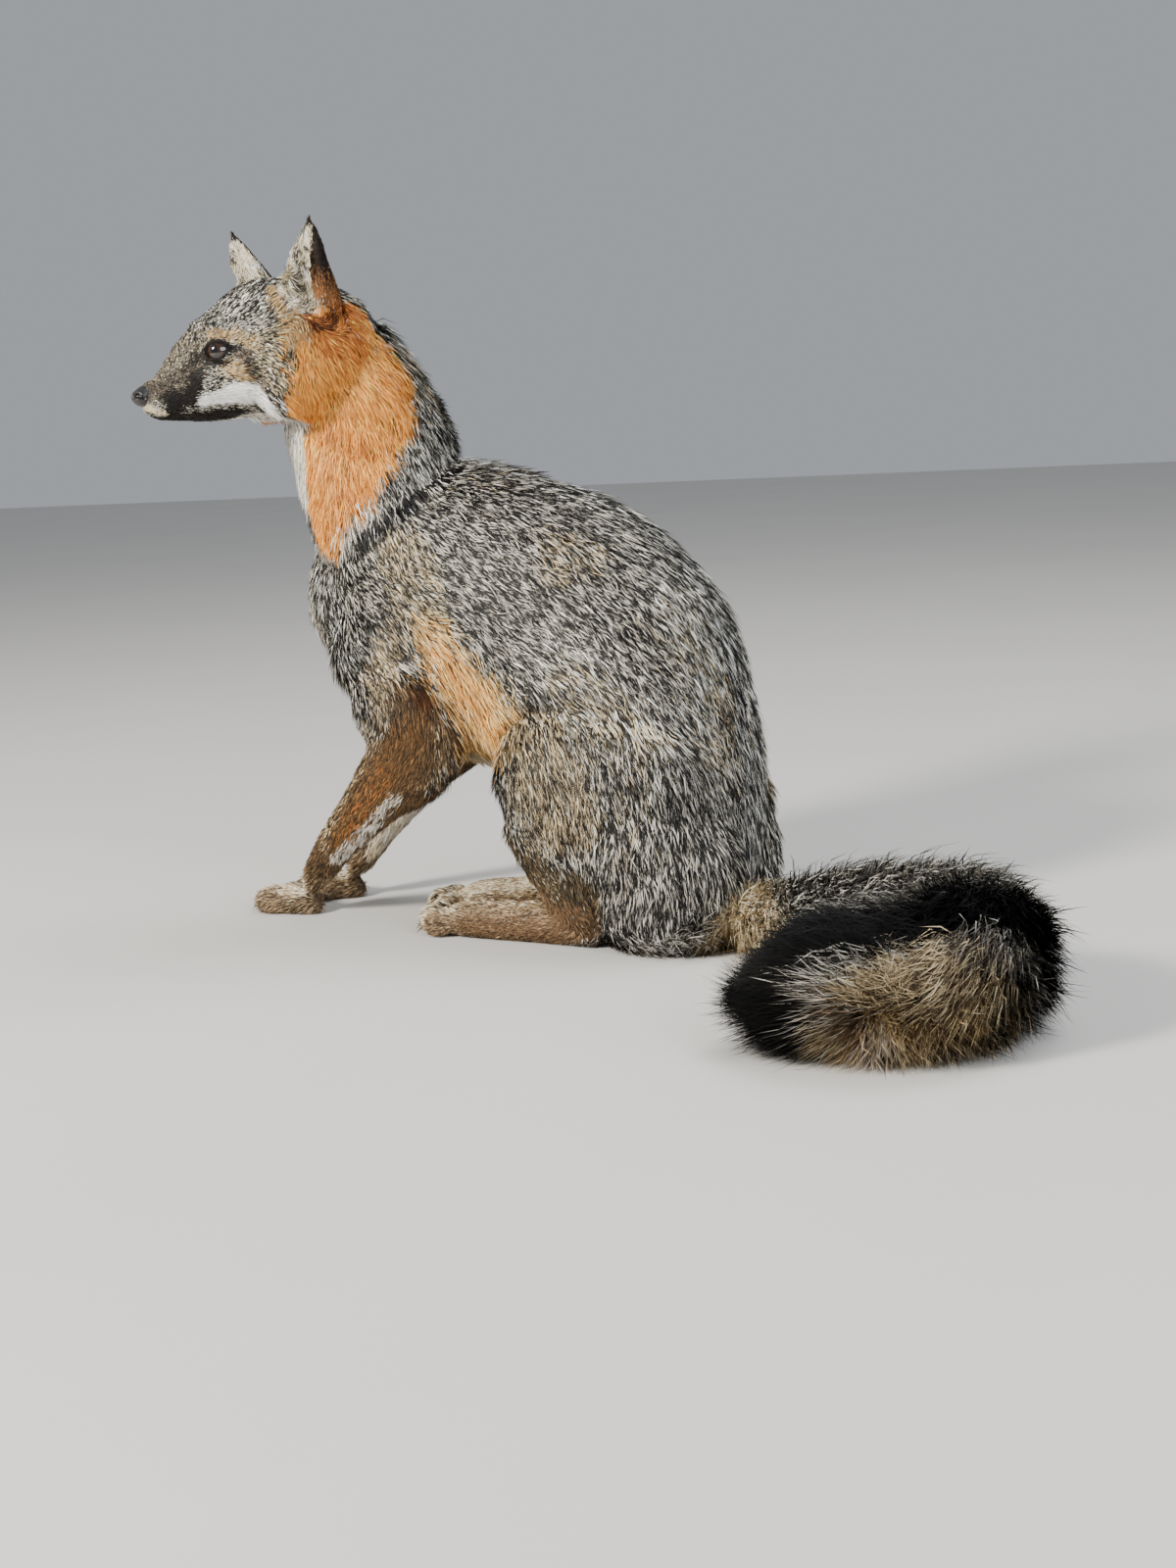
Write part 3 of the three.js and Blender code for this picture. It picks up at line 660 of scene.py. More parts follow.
# The markings, laid one over the other: coat, which lines, strength, softness of the edge in mm
# and a broken line of [x, y, z, radius]. "head" and "body" lines are on the left side and mirrored
# to the right, and "one" lines are not. In "neck" lines, "h" points turn with the head.
MARKINGS = [
    # back, sides and belly
    ("tan_grizzle", "body", 0.75, 22, [[34, -88, 120, 12], [40, -90, 96, 18], [46, -88, 76, 12]]),
    ("tan_grizzle", "body", 0.65, 18, [[-58, -58, 232, 8], [-46, -64, 212, 12], [-40, -68, 192, 10]]),
    ("tan_grizzle", "body", 0.55, 16, [[52, -80, 158, 6], [78, -78, 142, 10], [96, -74, 128, 8]]),
    ("dark_grizzle", "body", 0.6, 16, [[-50, 0, 300, 6], [-10, 0, 282, 12], [40, 0, 268, 10],
        [80, 0, 244, 8], [112, 0, 212, 8]]),
    ("dark_grizzle", "body", 0.85, 16, [[128, 0, 178, 8], [138, 0, 140, 12], [142, 0, 100, 16],
        [142, 0, 50, 18]]),
    ("dark_grizzle", "body", 0.7, 14, [[-130, -40, 212, 6], [-112, -54, 190, 8], [-96, -60, 176, 8]]),
    ("pale_grizzle", "body", 0.4, 8, [[122, -44, 156, 2], [128, -46, 120, 3], [130, -44, 84, 3]]),
    # painted highlight: paler grizzle along the top of the hip
    ("pale_grizzle", "body", 0.3, 20, [[40, -74, 172, 8], [70, -78, 150, 12], [104, -72, 134, 10]]),
    ("saddle", "body", 0.75, 16, [[60, -78, 24, 8], [88, -86, 24, 12], [118, -78, 22, 12]]),
    ("saddle", "body", 0.6, 16, [[-44, -12, 294, 5], [-16, -28, 276, 10], [20, -40, 262, 10],
        [56, -42, 246, 7]]),
    ("pale_grizzle", "body", 0.35, 16, [[100, -38, 206, 5], [116, -37, 180, 9], [125, -38, 156, 6]]),
    ("pale_grizzle", "body", 0.35, 14, [[-55, -27, 300, 8], [-50, -24, 290, 9]]),
    ("pale_grizzle", "body", 0.35, 10, [[60, -84, 6, 4], [92, -92, 6, 5], [126, -80, 6, 5]]),
    ("pale_grizzle", "body", 0.6, 12, [[-150, -14, 215, 6], [-146, -20, 180, 8], [-128, -34, 158, 6]]),
    ("cream", "body", 0.9, 16, [[-90, 0, 122, 22], [-40, 0, 100, 30], [10, -8, 80, 26]]),
    ("orange_pale", "body", 0.85, 20, [[-38, -68, 184, 0], [-34, -68, 174, 4], [-22, -67, 158, 9],
        [-6, -65, 140, 10], [4, -62, 122, 9]]),
    ("orange", "body", 0.25, 14, [[-30, -68, 170, 6], [-10, -66, 146, 8], [0, -62, 128, 6]]),
    ("orange_pale", "body", 0.7, 12, [[-38, -46, 138, 10], [-16, -48, 118, 12]]),
    ("tan_grizzle", "body", 0.8, 12, [[-62, -70, 186, 6], [-66, -74, 164, 9], [-64, -76, 148, 6]]),
    # fore legs
    ("leg_brown", "body", 1.0, 16, [[-50, -70, 146, 8], [-48, -62, 122, 19], [-72, -52, 100, 22],
        [-98, -44, 76, 22], [-128, -28, 50, 18], [-150, -17, 30, 12]]),
    ("leg_brown", "one", 1.0, 10, [[-72, 52, 118, 22], [-100, 47, 82, 22], [-126, 41, 50, 18],
        [-148, 34, 28, 12]]),
    # painted shade: dark rust in the crease behind the elbow, where the leg meets the chest
    ("rust_painted_shade", "body", 0.75, 5, [[-48, -70, 152, 1.5], [-40, -69, 143, 2.5]]),
    ("leg_rust", "body", 0.7, 9, [[-48, -72, 132, 4], [-63, -72, 110, 6], [-79, -66, 93, 6],
        [-95, -59, 79, 5], [-112, -50, 62, 4], [-121, -44, 49, 3]]),
    ("rust", "body", 0.1, 7, [[-72, -69, 101, 1], [-85, -64, 88, 2.5], [-104, -54, 70, 2.5],
        [-119, -46, 52, 1]]),
    ("tan_grizzle", "body", 0.35, 9, [[-66, -74, 146, 5], [-80, -68, 126, 4], [-94, -58, 112, 5],
        [-112, -50, 92, 5], [-128, -42, 72, 4], [-140, -36, 54, 3]]),
    ("tan_grizzle", "body", 0.3, 8, [[-34, -64, 126, 1], [-36, -60, 110, 3], [-48, -58, 94, 2]]),
    ("cream", "body", 0.8, 8, [[-60, -34, 118, 8], [-88, -26, 84, 8], [-118, -14, 52, 6],
        [-140, -6, 32, 4]]),
    ("cream", "one", 0.85, 8, [[-84, 38, 104, 6], [-104, 34, 76, 8], [-122, 31, 50, 7],
        [-134, 28, 32, 4]]),
    ("foot_dark", "one", 0.6, 7, [[-112, 44, 78, 3], [-128, 38, 52, 4], [-142, 32, 34, 4]]),
    ("throat", "body", 0.65, 6, [[-70, -61, 86, 0], [-84, -54, 75, 0.8], [-96, -47, 66, 1.6],
        [-108, -41, 56, 2], [-120, -36, 46, 1.8], [-129, -33, 40, 0.8]]),
    ("foot_buff", "one", 0.95, 16, [[-150, -17, 10, 8], [-172, -12, 8, 18], [-202, -3, 4, 14]]),
    ("foot_buff", "one", 0.95, 16, [[-146, 35, 10, 8], [-164, 30, 8, 18], [-192, 24, 4, 14]]),
    ("foot_dark", "one", 0.35, 8, [[-140, -30, 34, 4], [-160, -24, 20, 5], [-172, -26, 6, 4]]),
    ("foot_pale", "one", 0.85, 6, [[-168, -14, 18, 7], [-186, -8, 12, 9], [-200, -4, 7, 10]]),
    ("foot_pale", "one", 0.8, 6, [[-160, 31, 18, 5], [-178, 27, 12, 7], [-192, 24, 7, 9]]),
    # hind legs
    ("shank_brown", "one", 0.85, 14, [[14, -76, 62, 4], [26, -78, 44, 9], [44, -76, 24, 14]]),
    ("shank_brown", "one", 0.9, 14, [[22, 70, 66, 8], [30, 50, 46, 14], [40, 36, 24, 16]]),
    ("foot_buff", "one", 1.0, 8, [[36, -62, 12, 10], [0, -54, 10, 19], [-60, -45, 6, 18]]),
    ("foot_buff", "one", 1.0, 8, [[36, 24, 12, 12], [-20, 6, 10, 19], [-76, -10, 6, 18]]),
    ("heel_rust", "one", 0.85, 9, [[24, -72, 32, 3], [39, -74, 16, 8], [54, -76, 16, 8], [30, -70, 7, 6],
        [0, -66, 6, 5], [-26, -65, 6, 4]]),
    # paler along the top of the near hind foot: pale buff hair, partly a painted highlight where light
    # falls on it
    ("foot_pale", "one", 0.45, 7, [[10, -60, 30, 2], [-16, -56, 25, 3], [-40, -51, 21, 5]]),
    ("foot_pale", "one", 0.9, 6, [[-48, -50, 16, 8], [-60, -46, 12, 10]]),
    ("foot_pale", "one", 0.95, 8, [[30, 22, 30, 8], [-10, 8, 28, 9], [-50, -4, 20, 10],
        [-74, -10, 12, 10]]),
    # neck, under the ears
    ("orange", "neck", 1.0, 6, [["h", -46, -39, 366, 4], ["h", -46, -42, 350, 7],
        ["h", -46, -41, 338, 8], ["h", -42, -37, 322, 9], ["h", -36, -31, 304, 10],
        ["b", -112, -50, 284, 11], ["b", -114, -48, 262, 10], ["b", -117, -46, 246, 7]]),
    ("orange", "neck", 1.0, 7, [["h", -26, -39, 370, 9], ["h", -19, -41, 350, 17],
        ["h", -20, -44, 322, 18], ["b", -86, -51, 296, 17], ["b", -92, -56, 273, 16],
        ["b", -102, -54, 256, 12], ["b", -108, -49, 238, 5]]),
    ("orange", "neck", 0.95, 9, [["h", -4, -26, 374, 6], ["h", 6, -34, 352, 8], ["h", 10, -42, 330, 10],
        ["h", 6, -48, 308, 9], ["b", -76, -48, 286, 8], ["b", -84, -55, 266, 6]]),
    ("rust", "neck", 0.8, 9, [["h", -40, -41, 370, 3], ["h", -22, -42, 366, 9],
        ["h", -10, -40, 356, 9]]),
    ("rust", "neck", 0.85, 5, [["h", -19, -44, 384, 4], ["h", -11, -36, 380, 5],
        ["h", -4, -30, 376, 4]]),
    # painted shade: rust darkened along the crease where the ruff hangs over the neck
    ("rust", "neck", 0.6, 8, [["h", -38, -38, 312, 2], ["h", -33, -38, 304, 4], ["b", -95, -54, 297, 4],
        ["b", -78, -50, 292, 3]]),
    ("orange_low", "neck", 0.85, 8, [["b", -98, -54, 296, 6], ["b", -98, -55, 274, 10],
        ["b", -106, -50, 248, 4]]),
    # painted shade: dark rust in the crease at the foot of the ear
    ("rust_painted_shade", "neck", 0.85, 5, [["h", -42, -41, 371, 1.5], ["h", -32, -42, 371, 3],
        ["h", -22, -42, 374, 3]]),
    ("pale_grizzle", "neck", 0.55, 9, [["b", -36, -30, 281, 3], ["b", -52, -43, 273, 4],
        ["b", -66, -54, 262, 4], ["b", -84, -58, 249, 3], ["b", -100, -54, 240, 2]]),
    # painted shade: a black line in the fold from the withers to the point of the shoulder
    ("black", "body", 1.0, 3.6, [[-30, -20, 280, 1.6], [-40, -30, 273, 1.5], [-54, -45, 262, 1.3],
        [-68, -53, 252, 1.2], [-86, -56, 239, 0.6]]),
    # face
    ("temple", "head", 0.8, 9, [[-76, -33, 346, 8], [-62, -38, 342, 9], [-58, -38, 360, 8]]),
    ("brown_grizzle", "head", 1.0, 7, [[-132, 0, 342, 5], [-118, 0, 352, 8], [-104, 0, 364, 7]]),
    ("brown_grizzle", "head", 0.8, 8, [[-110, -9, 352, 6], [-102, -10, 362, 6], [-94, -17, 366, 4]]),
    ("muzzle_dark", "head", 0.95, 6, [[-127, -7, 337, 3], [-116, -13, 341, 5], [-106, -17, 346, 5],
        [-99, -20, 353, 4]]),
    ("buff_face", "head", 0.65, 5, [[-92, -24, 368, 2], [-82, -30, 367, 3.5], [-72, -34, 363, 4]]),
    ("buff_face", "head", 0.75, 6, [[-50, -26, 394, 4], [-48, -35, 380, 6], [-46, -41, 366, 5]]),
    ("buff_face", "head", 0.5, 5, [[-84, -28, 347, 3], [-76, -33, 345, 3]]),
    ("white", "head", 1.0, 3.5, [[-99, -17, 329, 2], [-89, -22, 330, 4], [-79, -27, 332, 6.5],
        [-69, -31, 330, 7], [-60, -33, 323, 6]]),
    ("white", "head", 0.9, 6, [[-60, -26, 316, 6], [-50, -20, 309, 7]]),
    ("throat", "head", 0.95, 7, [[-70, 0, 312, 12], [-52, 0, 308, 15], [-46, -6, 292, 11],
        [-45, -5, 268, 8], [-48, -4, 248, 5]]),
    ("throat", "head", 0.95, 6, [[-47, -15, 312, 6], [-43, -22, 311, 5]]),
    ("muzzle_dark", "head", 0.95, 3, [[-78, -31, 360, 0.8], [-72, -34, 356, 1.0]]),
    ("muzzle_dark", "head", 0.85, 3.5, [[-79, -31, 357, 1.0], [-74, -33, 351, 1.6], [-69, -35, 342, 1.8],
        [-62, -37, 332, 2.0], [-56, -35, 322, 2.2], [-50, -30, 314, 2]]),
    ("muzzle_black", "head", 1.0, 4.5, [[-120, -11, 333, 2], [-114, -14, 331, 4], [-107, -17, 331, 4.5],
        [-103, -18, 338, 3], [-101, -19, 346, 2]]),
    ("muzzle_black", "head", 0.9, 3, [[-119, -12, 324, 3], [-106, -15, 324, 3]]),
    ("muzzle_black", "head", 1.0, 3.5, [[-122, 0, 317, 5], [-112, -4, 316, 7.5], [-100, -6, 316, 8.5],
        [-90, -9, 317, 7], [-80, -13, 319, 5], [-70, -18, 320, 2.5]]),
    ("muzzle_black", "head", 0.95, 2.5, [[-99, -20, 357, 2.2], [-92, -25, 364.5, 1.2],
        [-84, -28, 364, 0.8], [-79, -29, 359, 0.8]]),
    ("muzzle_black", "head", 0.9, 2.5, [[-98, -21, 354, 2], [-91, -26, 350.5, 1.2],
        [-84, -29, 352, 0.8]]),
    ("cream", "head", 0.8, 3, [[-132, -3, 327, 1.6], [-128.5, -8, 327, 2], [-122, -10.5, 324, 1.2]]),
    ("black", "head", 1.0, 2, [[-128, 0, 321, 1.5], [-122, -7, 320, 2], [-112, -10, 317, 3.5],
        [-101, -12, 318, 3.2], [-91, -17, 321.5, 2.2], [-81, -20.5, 323, 1.8], [-72, -24, 322.5, 1.4],
        [-64, -28, 320, 1.0]]),
    ("ear_cream", "head", 0.9, 4, [[-42, -22, 386, 3], [-42, -26, 400, 4], [-40, -32, 414, 3]]),
]


def expanded(where, line):
    """A marking's lines on the layout, for one side or both."""
    if where == "one":
        return [np.array(line, float)]
    if where == "body":
        return both_sides(line)
    if where == "head":
        lines = []
        for side, part in zip((-1, 1), both_sides(line)):
            part[:, :3] = from_head(lean(part[:, :3]) if side == 1 else part[:, :3])
            lines.append(part)
        return lines
    lines = []
    for side in (-1, 1):
        points = []
        for layer, x, y, z, radius in line:
            place = np.array([x, -y if side == 1 else y, z], float)
            if layer == "h":
                place = from_head(place)
            points.append([*place, radius])
        lines.append(np.array(points))
    return lines


# The same on the tail: coat, strength, softness and line.
TAIL_MARKINGS = [
    ("tail_root", 0.9, 14, [[120, -20, 14, 22], [146, -56, 14, 24], [172, -94, 16, 20],
        [196, -116, 20, 10]]),
    ("tail_tan", 1.0, 14, [[262, -264, 20, 16], [286, -264, 30, 20], [308, -254, 40, 18],
        [324, -242, 38, 8]]),
    ("tail_tan", 0.7, 14, [[300, -250, 14, 14], [328, -230, 16, 10]]),
    ("tail_silver", 0.5, 7, [[222, -258, 52, 0.5], [240, -264, 42, 2], [258, -268, 30, 5]]),
    ("tail_whorl", 0.8, 9, [[250, -268, 34, 2], [262, -268, 26, 6], [272, -266, 18, 8]]),
    ("tail_silver", 0.5, 10, [[292, -236, 84, 4], [286, -214, 88, 6], [284, -190, 86, 6]]),
    ("tail_silver", 0.6, 10, [[310, -242, 62, 5], [322, -236, 54, 5]]),
    ("heel_rust", 0.5, 8, [[258, -266, 32, 5], [262, -264, 20, 6]]),
    ("black", 1.0, 10, [[196, -226, 50, 8], [222, -246, 62, 15], [246, -252, 68, 16],
        [266, -252, 73, 15], [284, -248, 77, 14], [302, -236, 80, 16], [322, -214, 80, 17],
        [340, -200, 66, 12], [350, -188, 44, 12], [352, -182, 20, 12]]),
    ("black", 1.0, 14, [[230, -256, 32, 10], [212, -250, 22, 20], [190, -236, 10, 26]]),
    ("black", 0.6, 12, [[342, -222, 34, 6], [338, -232, 18, 8], [320, -250, 6, 6]]),
]

HEAD_ABOVE = (np.array([-112, -8, 352.0]), unit(np.array([-0.49, -0.53, 0.69])))
TAIL_AXIS = curve(np.array(TAIL)[:, :3], np.linspace(0, 1, 80))


def tail_share(points):
    """How far along the tail points are, 0 to 1, and how far from its axis, in mm."""
    best, share = np.full(len(points), 1e9), np.zeros(len(points))
    near = np.flatnonzero((points[:, 0] > 90) & (points[:, 1] < 40) & (points[:, 2] < 110))
    for k, middle in enumerate(TAIL_AXIS):
        gap = ((points[near] - middle) ** 2).sum(1)
        nearer = gap < best[near]
        best[near[nearer]], share[near[nearer]] = gap[nearer], k / 79
    return share, np.sqrt(best)


def ear_shares(local, normal):
    """For points on the head's layout: share that is ear, its pocket, and the pocket's middle, where it
    takes painted shade.
    """
    ear, pocket, deep = (np.zeros(len(local)) for _ in range(3))
    near = np.flatnonzero((local[:, 2] > 370) & (np.abs(local[:, 1]) > 8) & (local[:, 0] > -62))
    points, normal = local[near], normal[near]
    for right, azimuth, edge in ((False, -10, 0), (True, 15, -5)):
        axis = np.array(EAR)[:, :3].copy()
        if right:
            axis[:, 1] *= -1
            axis = lean(axis)
        up = step(points[:, 2], 376, 390)
        share = step(-line_distance(points, axis[1:]), -22, -16) * up
        facing = np.array([-math.cos(math.radians(azimuth)), -math.sin(math.radians(azimuth)), 0])
        middle = np.stack([np.interp(points[:, 2], axis[:, 2], axis[:, k]) for k in (0, 1)], 1)
        ahead = (points[:, :2] - middle) @ facing[:2]
        inside = step(normal @ facing, -0.45, -0.05) * step(ahead, edge - 2, edge + 1.5)
        ear[near] = np.maximum(ear[near], share)
        pocket[near] = np.where(share > 0.01, inside, pocket[near])
        centre = np.exp(-((ahead - edge - 4.5) / 2.6) ** 2) * step(-points[:, 2], -416, -400)
        deep[near] = np.where(share > 0.01, centre, deep[near])
    return ear, pocket, deep


def value_noise(points, cell, seed):
    """Soft noise from -1 to 1 with lumps about "cell" mm across."""
    grid = points / cell
    base = np.floor(grid).astype(np.int64)
    w = grid - base
    w = w * w * (3 - 2 * w)
    total = np.zeros(len(points))
    for corner in range(8):
        bits = np.array([corner & 1, corner >> 1 & 1, corner >> 2 & 1])
        key = (base + bits) @ np.array([73856093, 19349663, 83492791]) + seed * 2654435761
        key = (key ^ (key >> 13)) * 1274126177 & 0x7FFFFFFF
        key = (key ^ (key >> 16)) & 0xFFFF
        share = np.prod(np.where(bits == 1, w, 1 - w), axis=1)
        total += share * (key / 32767.5 - 1)
    return total


def stroke_share(places, line, soft, ripple, seed):
    """How much of a marking is at each place: 1 on its line, and 0 beyond its soft edge."""
    shape = np.zeros(len(places))
    reach = line[:, 3].max() + soft * (1 + ripple)
    low, high = line[:, :3].min(0) - reach, line[:, :3].max(0) + reach
    near = np.flatnonzero(((places > low) & (places < high)).all(1))
    if len(near):
        close = places[near]
        distance = line_distance(close, line) + value_noise(close, soft + 4, seed) * soft * ripple
        shape[near] = 1 - step(distance, 0, soft)
    return shape


def toe_gaps():
    """The gaps between the toes, as lines from the foot's top down between them. The coat along them takes
    painted shade.
    """
    for heel, toe, size in FEET:
        heel, length, way, left = foot_frame(heel, toe)
        high = size["toe"]
        for offset in (-1, 0, 1):
            row = []
            for back, z in ((24, high * 2.1), (15, high * 1.8), (6, high * 1.3), (1, 3)):
                x, y = heel + way * (length - back) + left * offset * size["width"] * TOE_SPACING
                row.append([x, y, z, 0.8])
            yield np.array(row)


def each_marking(places, normals, roots):
    """Yields each coat in the order it is laid, with its share at every place."""
    yield "grizzled", np.ones(len(places))
    yield "tan_grizzle", step(value_noise(places, 46, 8), -0.1, 0.7) * 0.55
    height = (roots - HEAD_ABOVE[0]) @ HEAD_ABOVE[1]
    local, turned = on_head(places), normals @ TURN
    yield "face_grizzle", step(height, -4, 8) * step(-local[:, 0], -4, 20)
    share, gap = tail_share(roots)
    tail = step(-gap, -32, -26) * step(share, 0.03, 0.1)
    for coat, where, strength, soft, line in MARKINGS:
        shape = np.zeros(len(places))
        for part in expanded(where, line):
            shape = np.maximum(shape, stroke_share(places, part, soft, 0.35, 5))
        yield coat, shape * strength * (1 - tail)
    # painted shade: the coat darkened in the gaps between the toes
    for gap_line in toe_gaps():
        yield "foot_dark", stroke_share(places, gap_line, 3.0, 0.2, 5) * 0.95
    for side in (-1, 1):
        outside, far, front = from_opening(local, side)
        yield "muzzle_black", (1 - step(outside, 1.6, 3.8)) * (far < 18) * (front > 0) * 0.95
    ear, pocket, deep = ear_shares(local, turned)
    back = ear * (1 - pocket)
    yield "ear_rust", back
    yield "ear_black", back * step(local[:, 2] + local[:, 0] * 0.4, 376, 396)
    yield "ear_cream", ear * pocket
    yield "ear_white", ear * pocket * step(value_noise(places, 5, 3), -0.3, 0.3) * 0.8
    # painted shade in the hollow of the pocket, deepest in its middle
    yield "ear_shade", ear * pocket * deep * 0.6
    streak = step(value_noise(local * [1, 1, 0.25], 2.6, 9), 0.1, 0.45)
    yield "ear_shade", ear * pocket * streak * 0.7
    yield "ear_black", ear * step(local[:, 2], 425, 430)
    yield "tail_grizzle", tail
    for coat, strength, soft, line in TAIL_MARKINGS:
        yield coat, stroke_share(places, np.array(line, float), soft, 0.45, 6) * strength * tail


def skin_colours(points, normals):
    """The coats' mean colours, mixed softly, for the skin that shows between the hairs."""
    colour = np.zeros((len(points), 3))
    for name, share in each_marking(points, normals, points):
        k = COAT_NAMES.index(name)
        mean = ROOT_COLOUR[k] * 0.5 + BAND_COLOUR[k] * 0.3 + TIP_COLOUR[k] * 0.2
        colour += (mean - colour) * share[:, None]
    return colour


def choose_coats(places, normals, roots):
    """One coat for each hair. Where markings meet, their hairs stand mixed."""
    chosen = np.zeros(len(places), int)
    for name, share in each_marking(places, normals, roots):
        chosen = np.where(rng.random(len(places)) < share, COAT_NAMES.index(name), chosen)
    return chosen


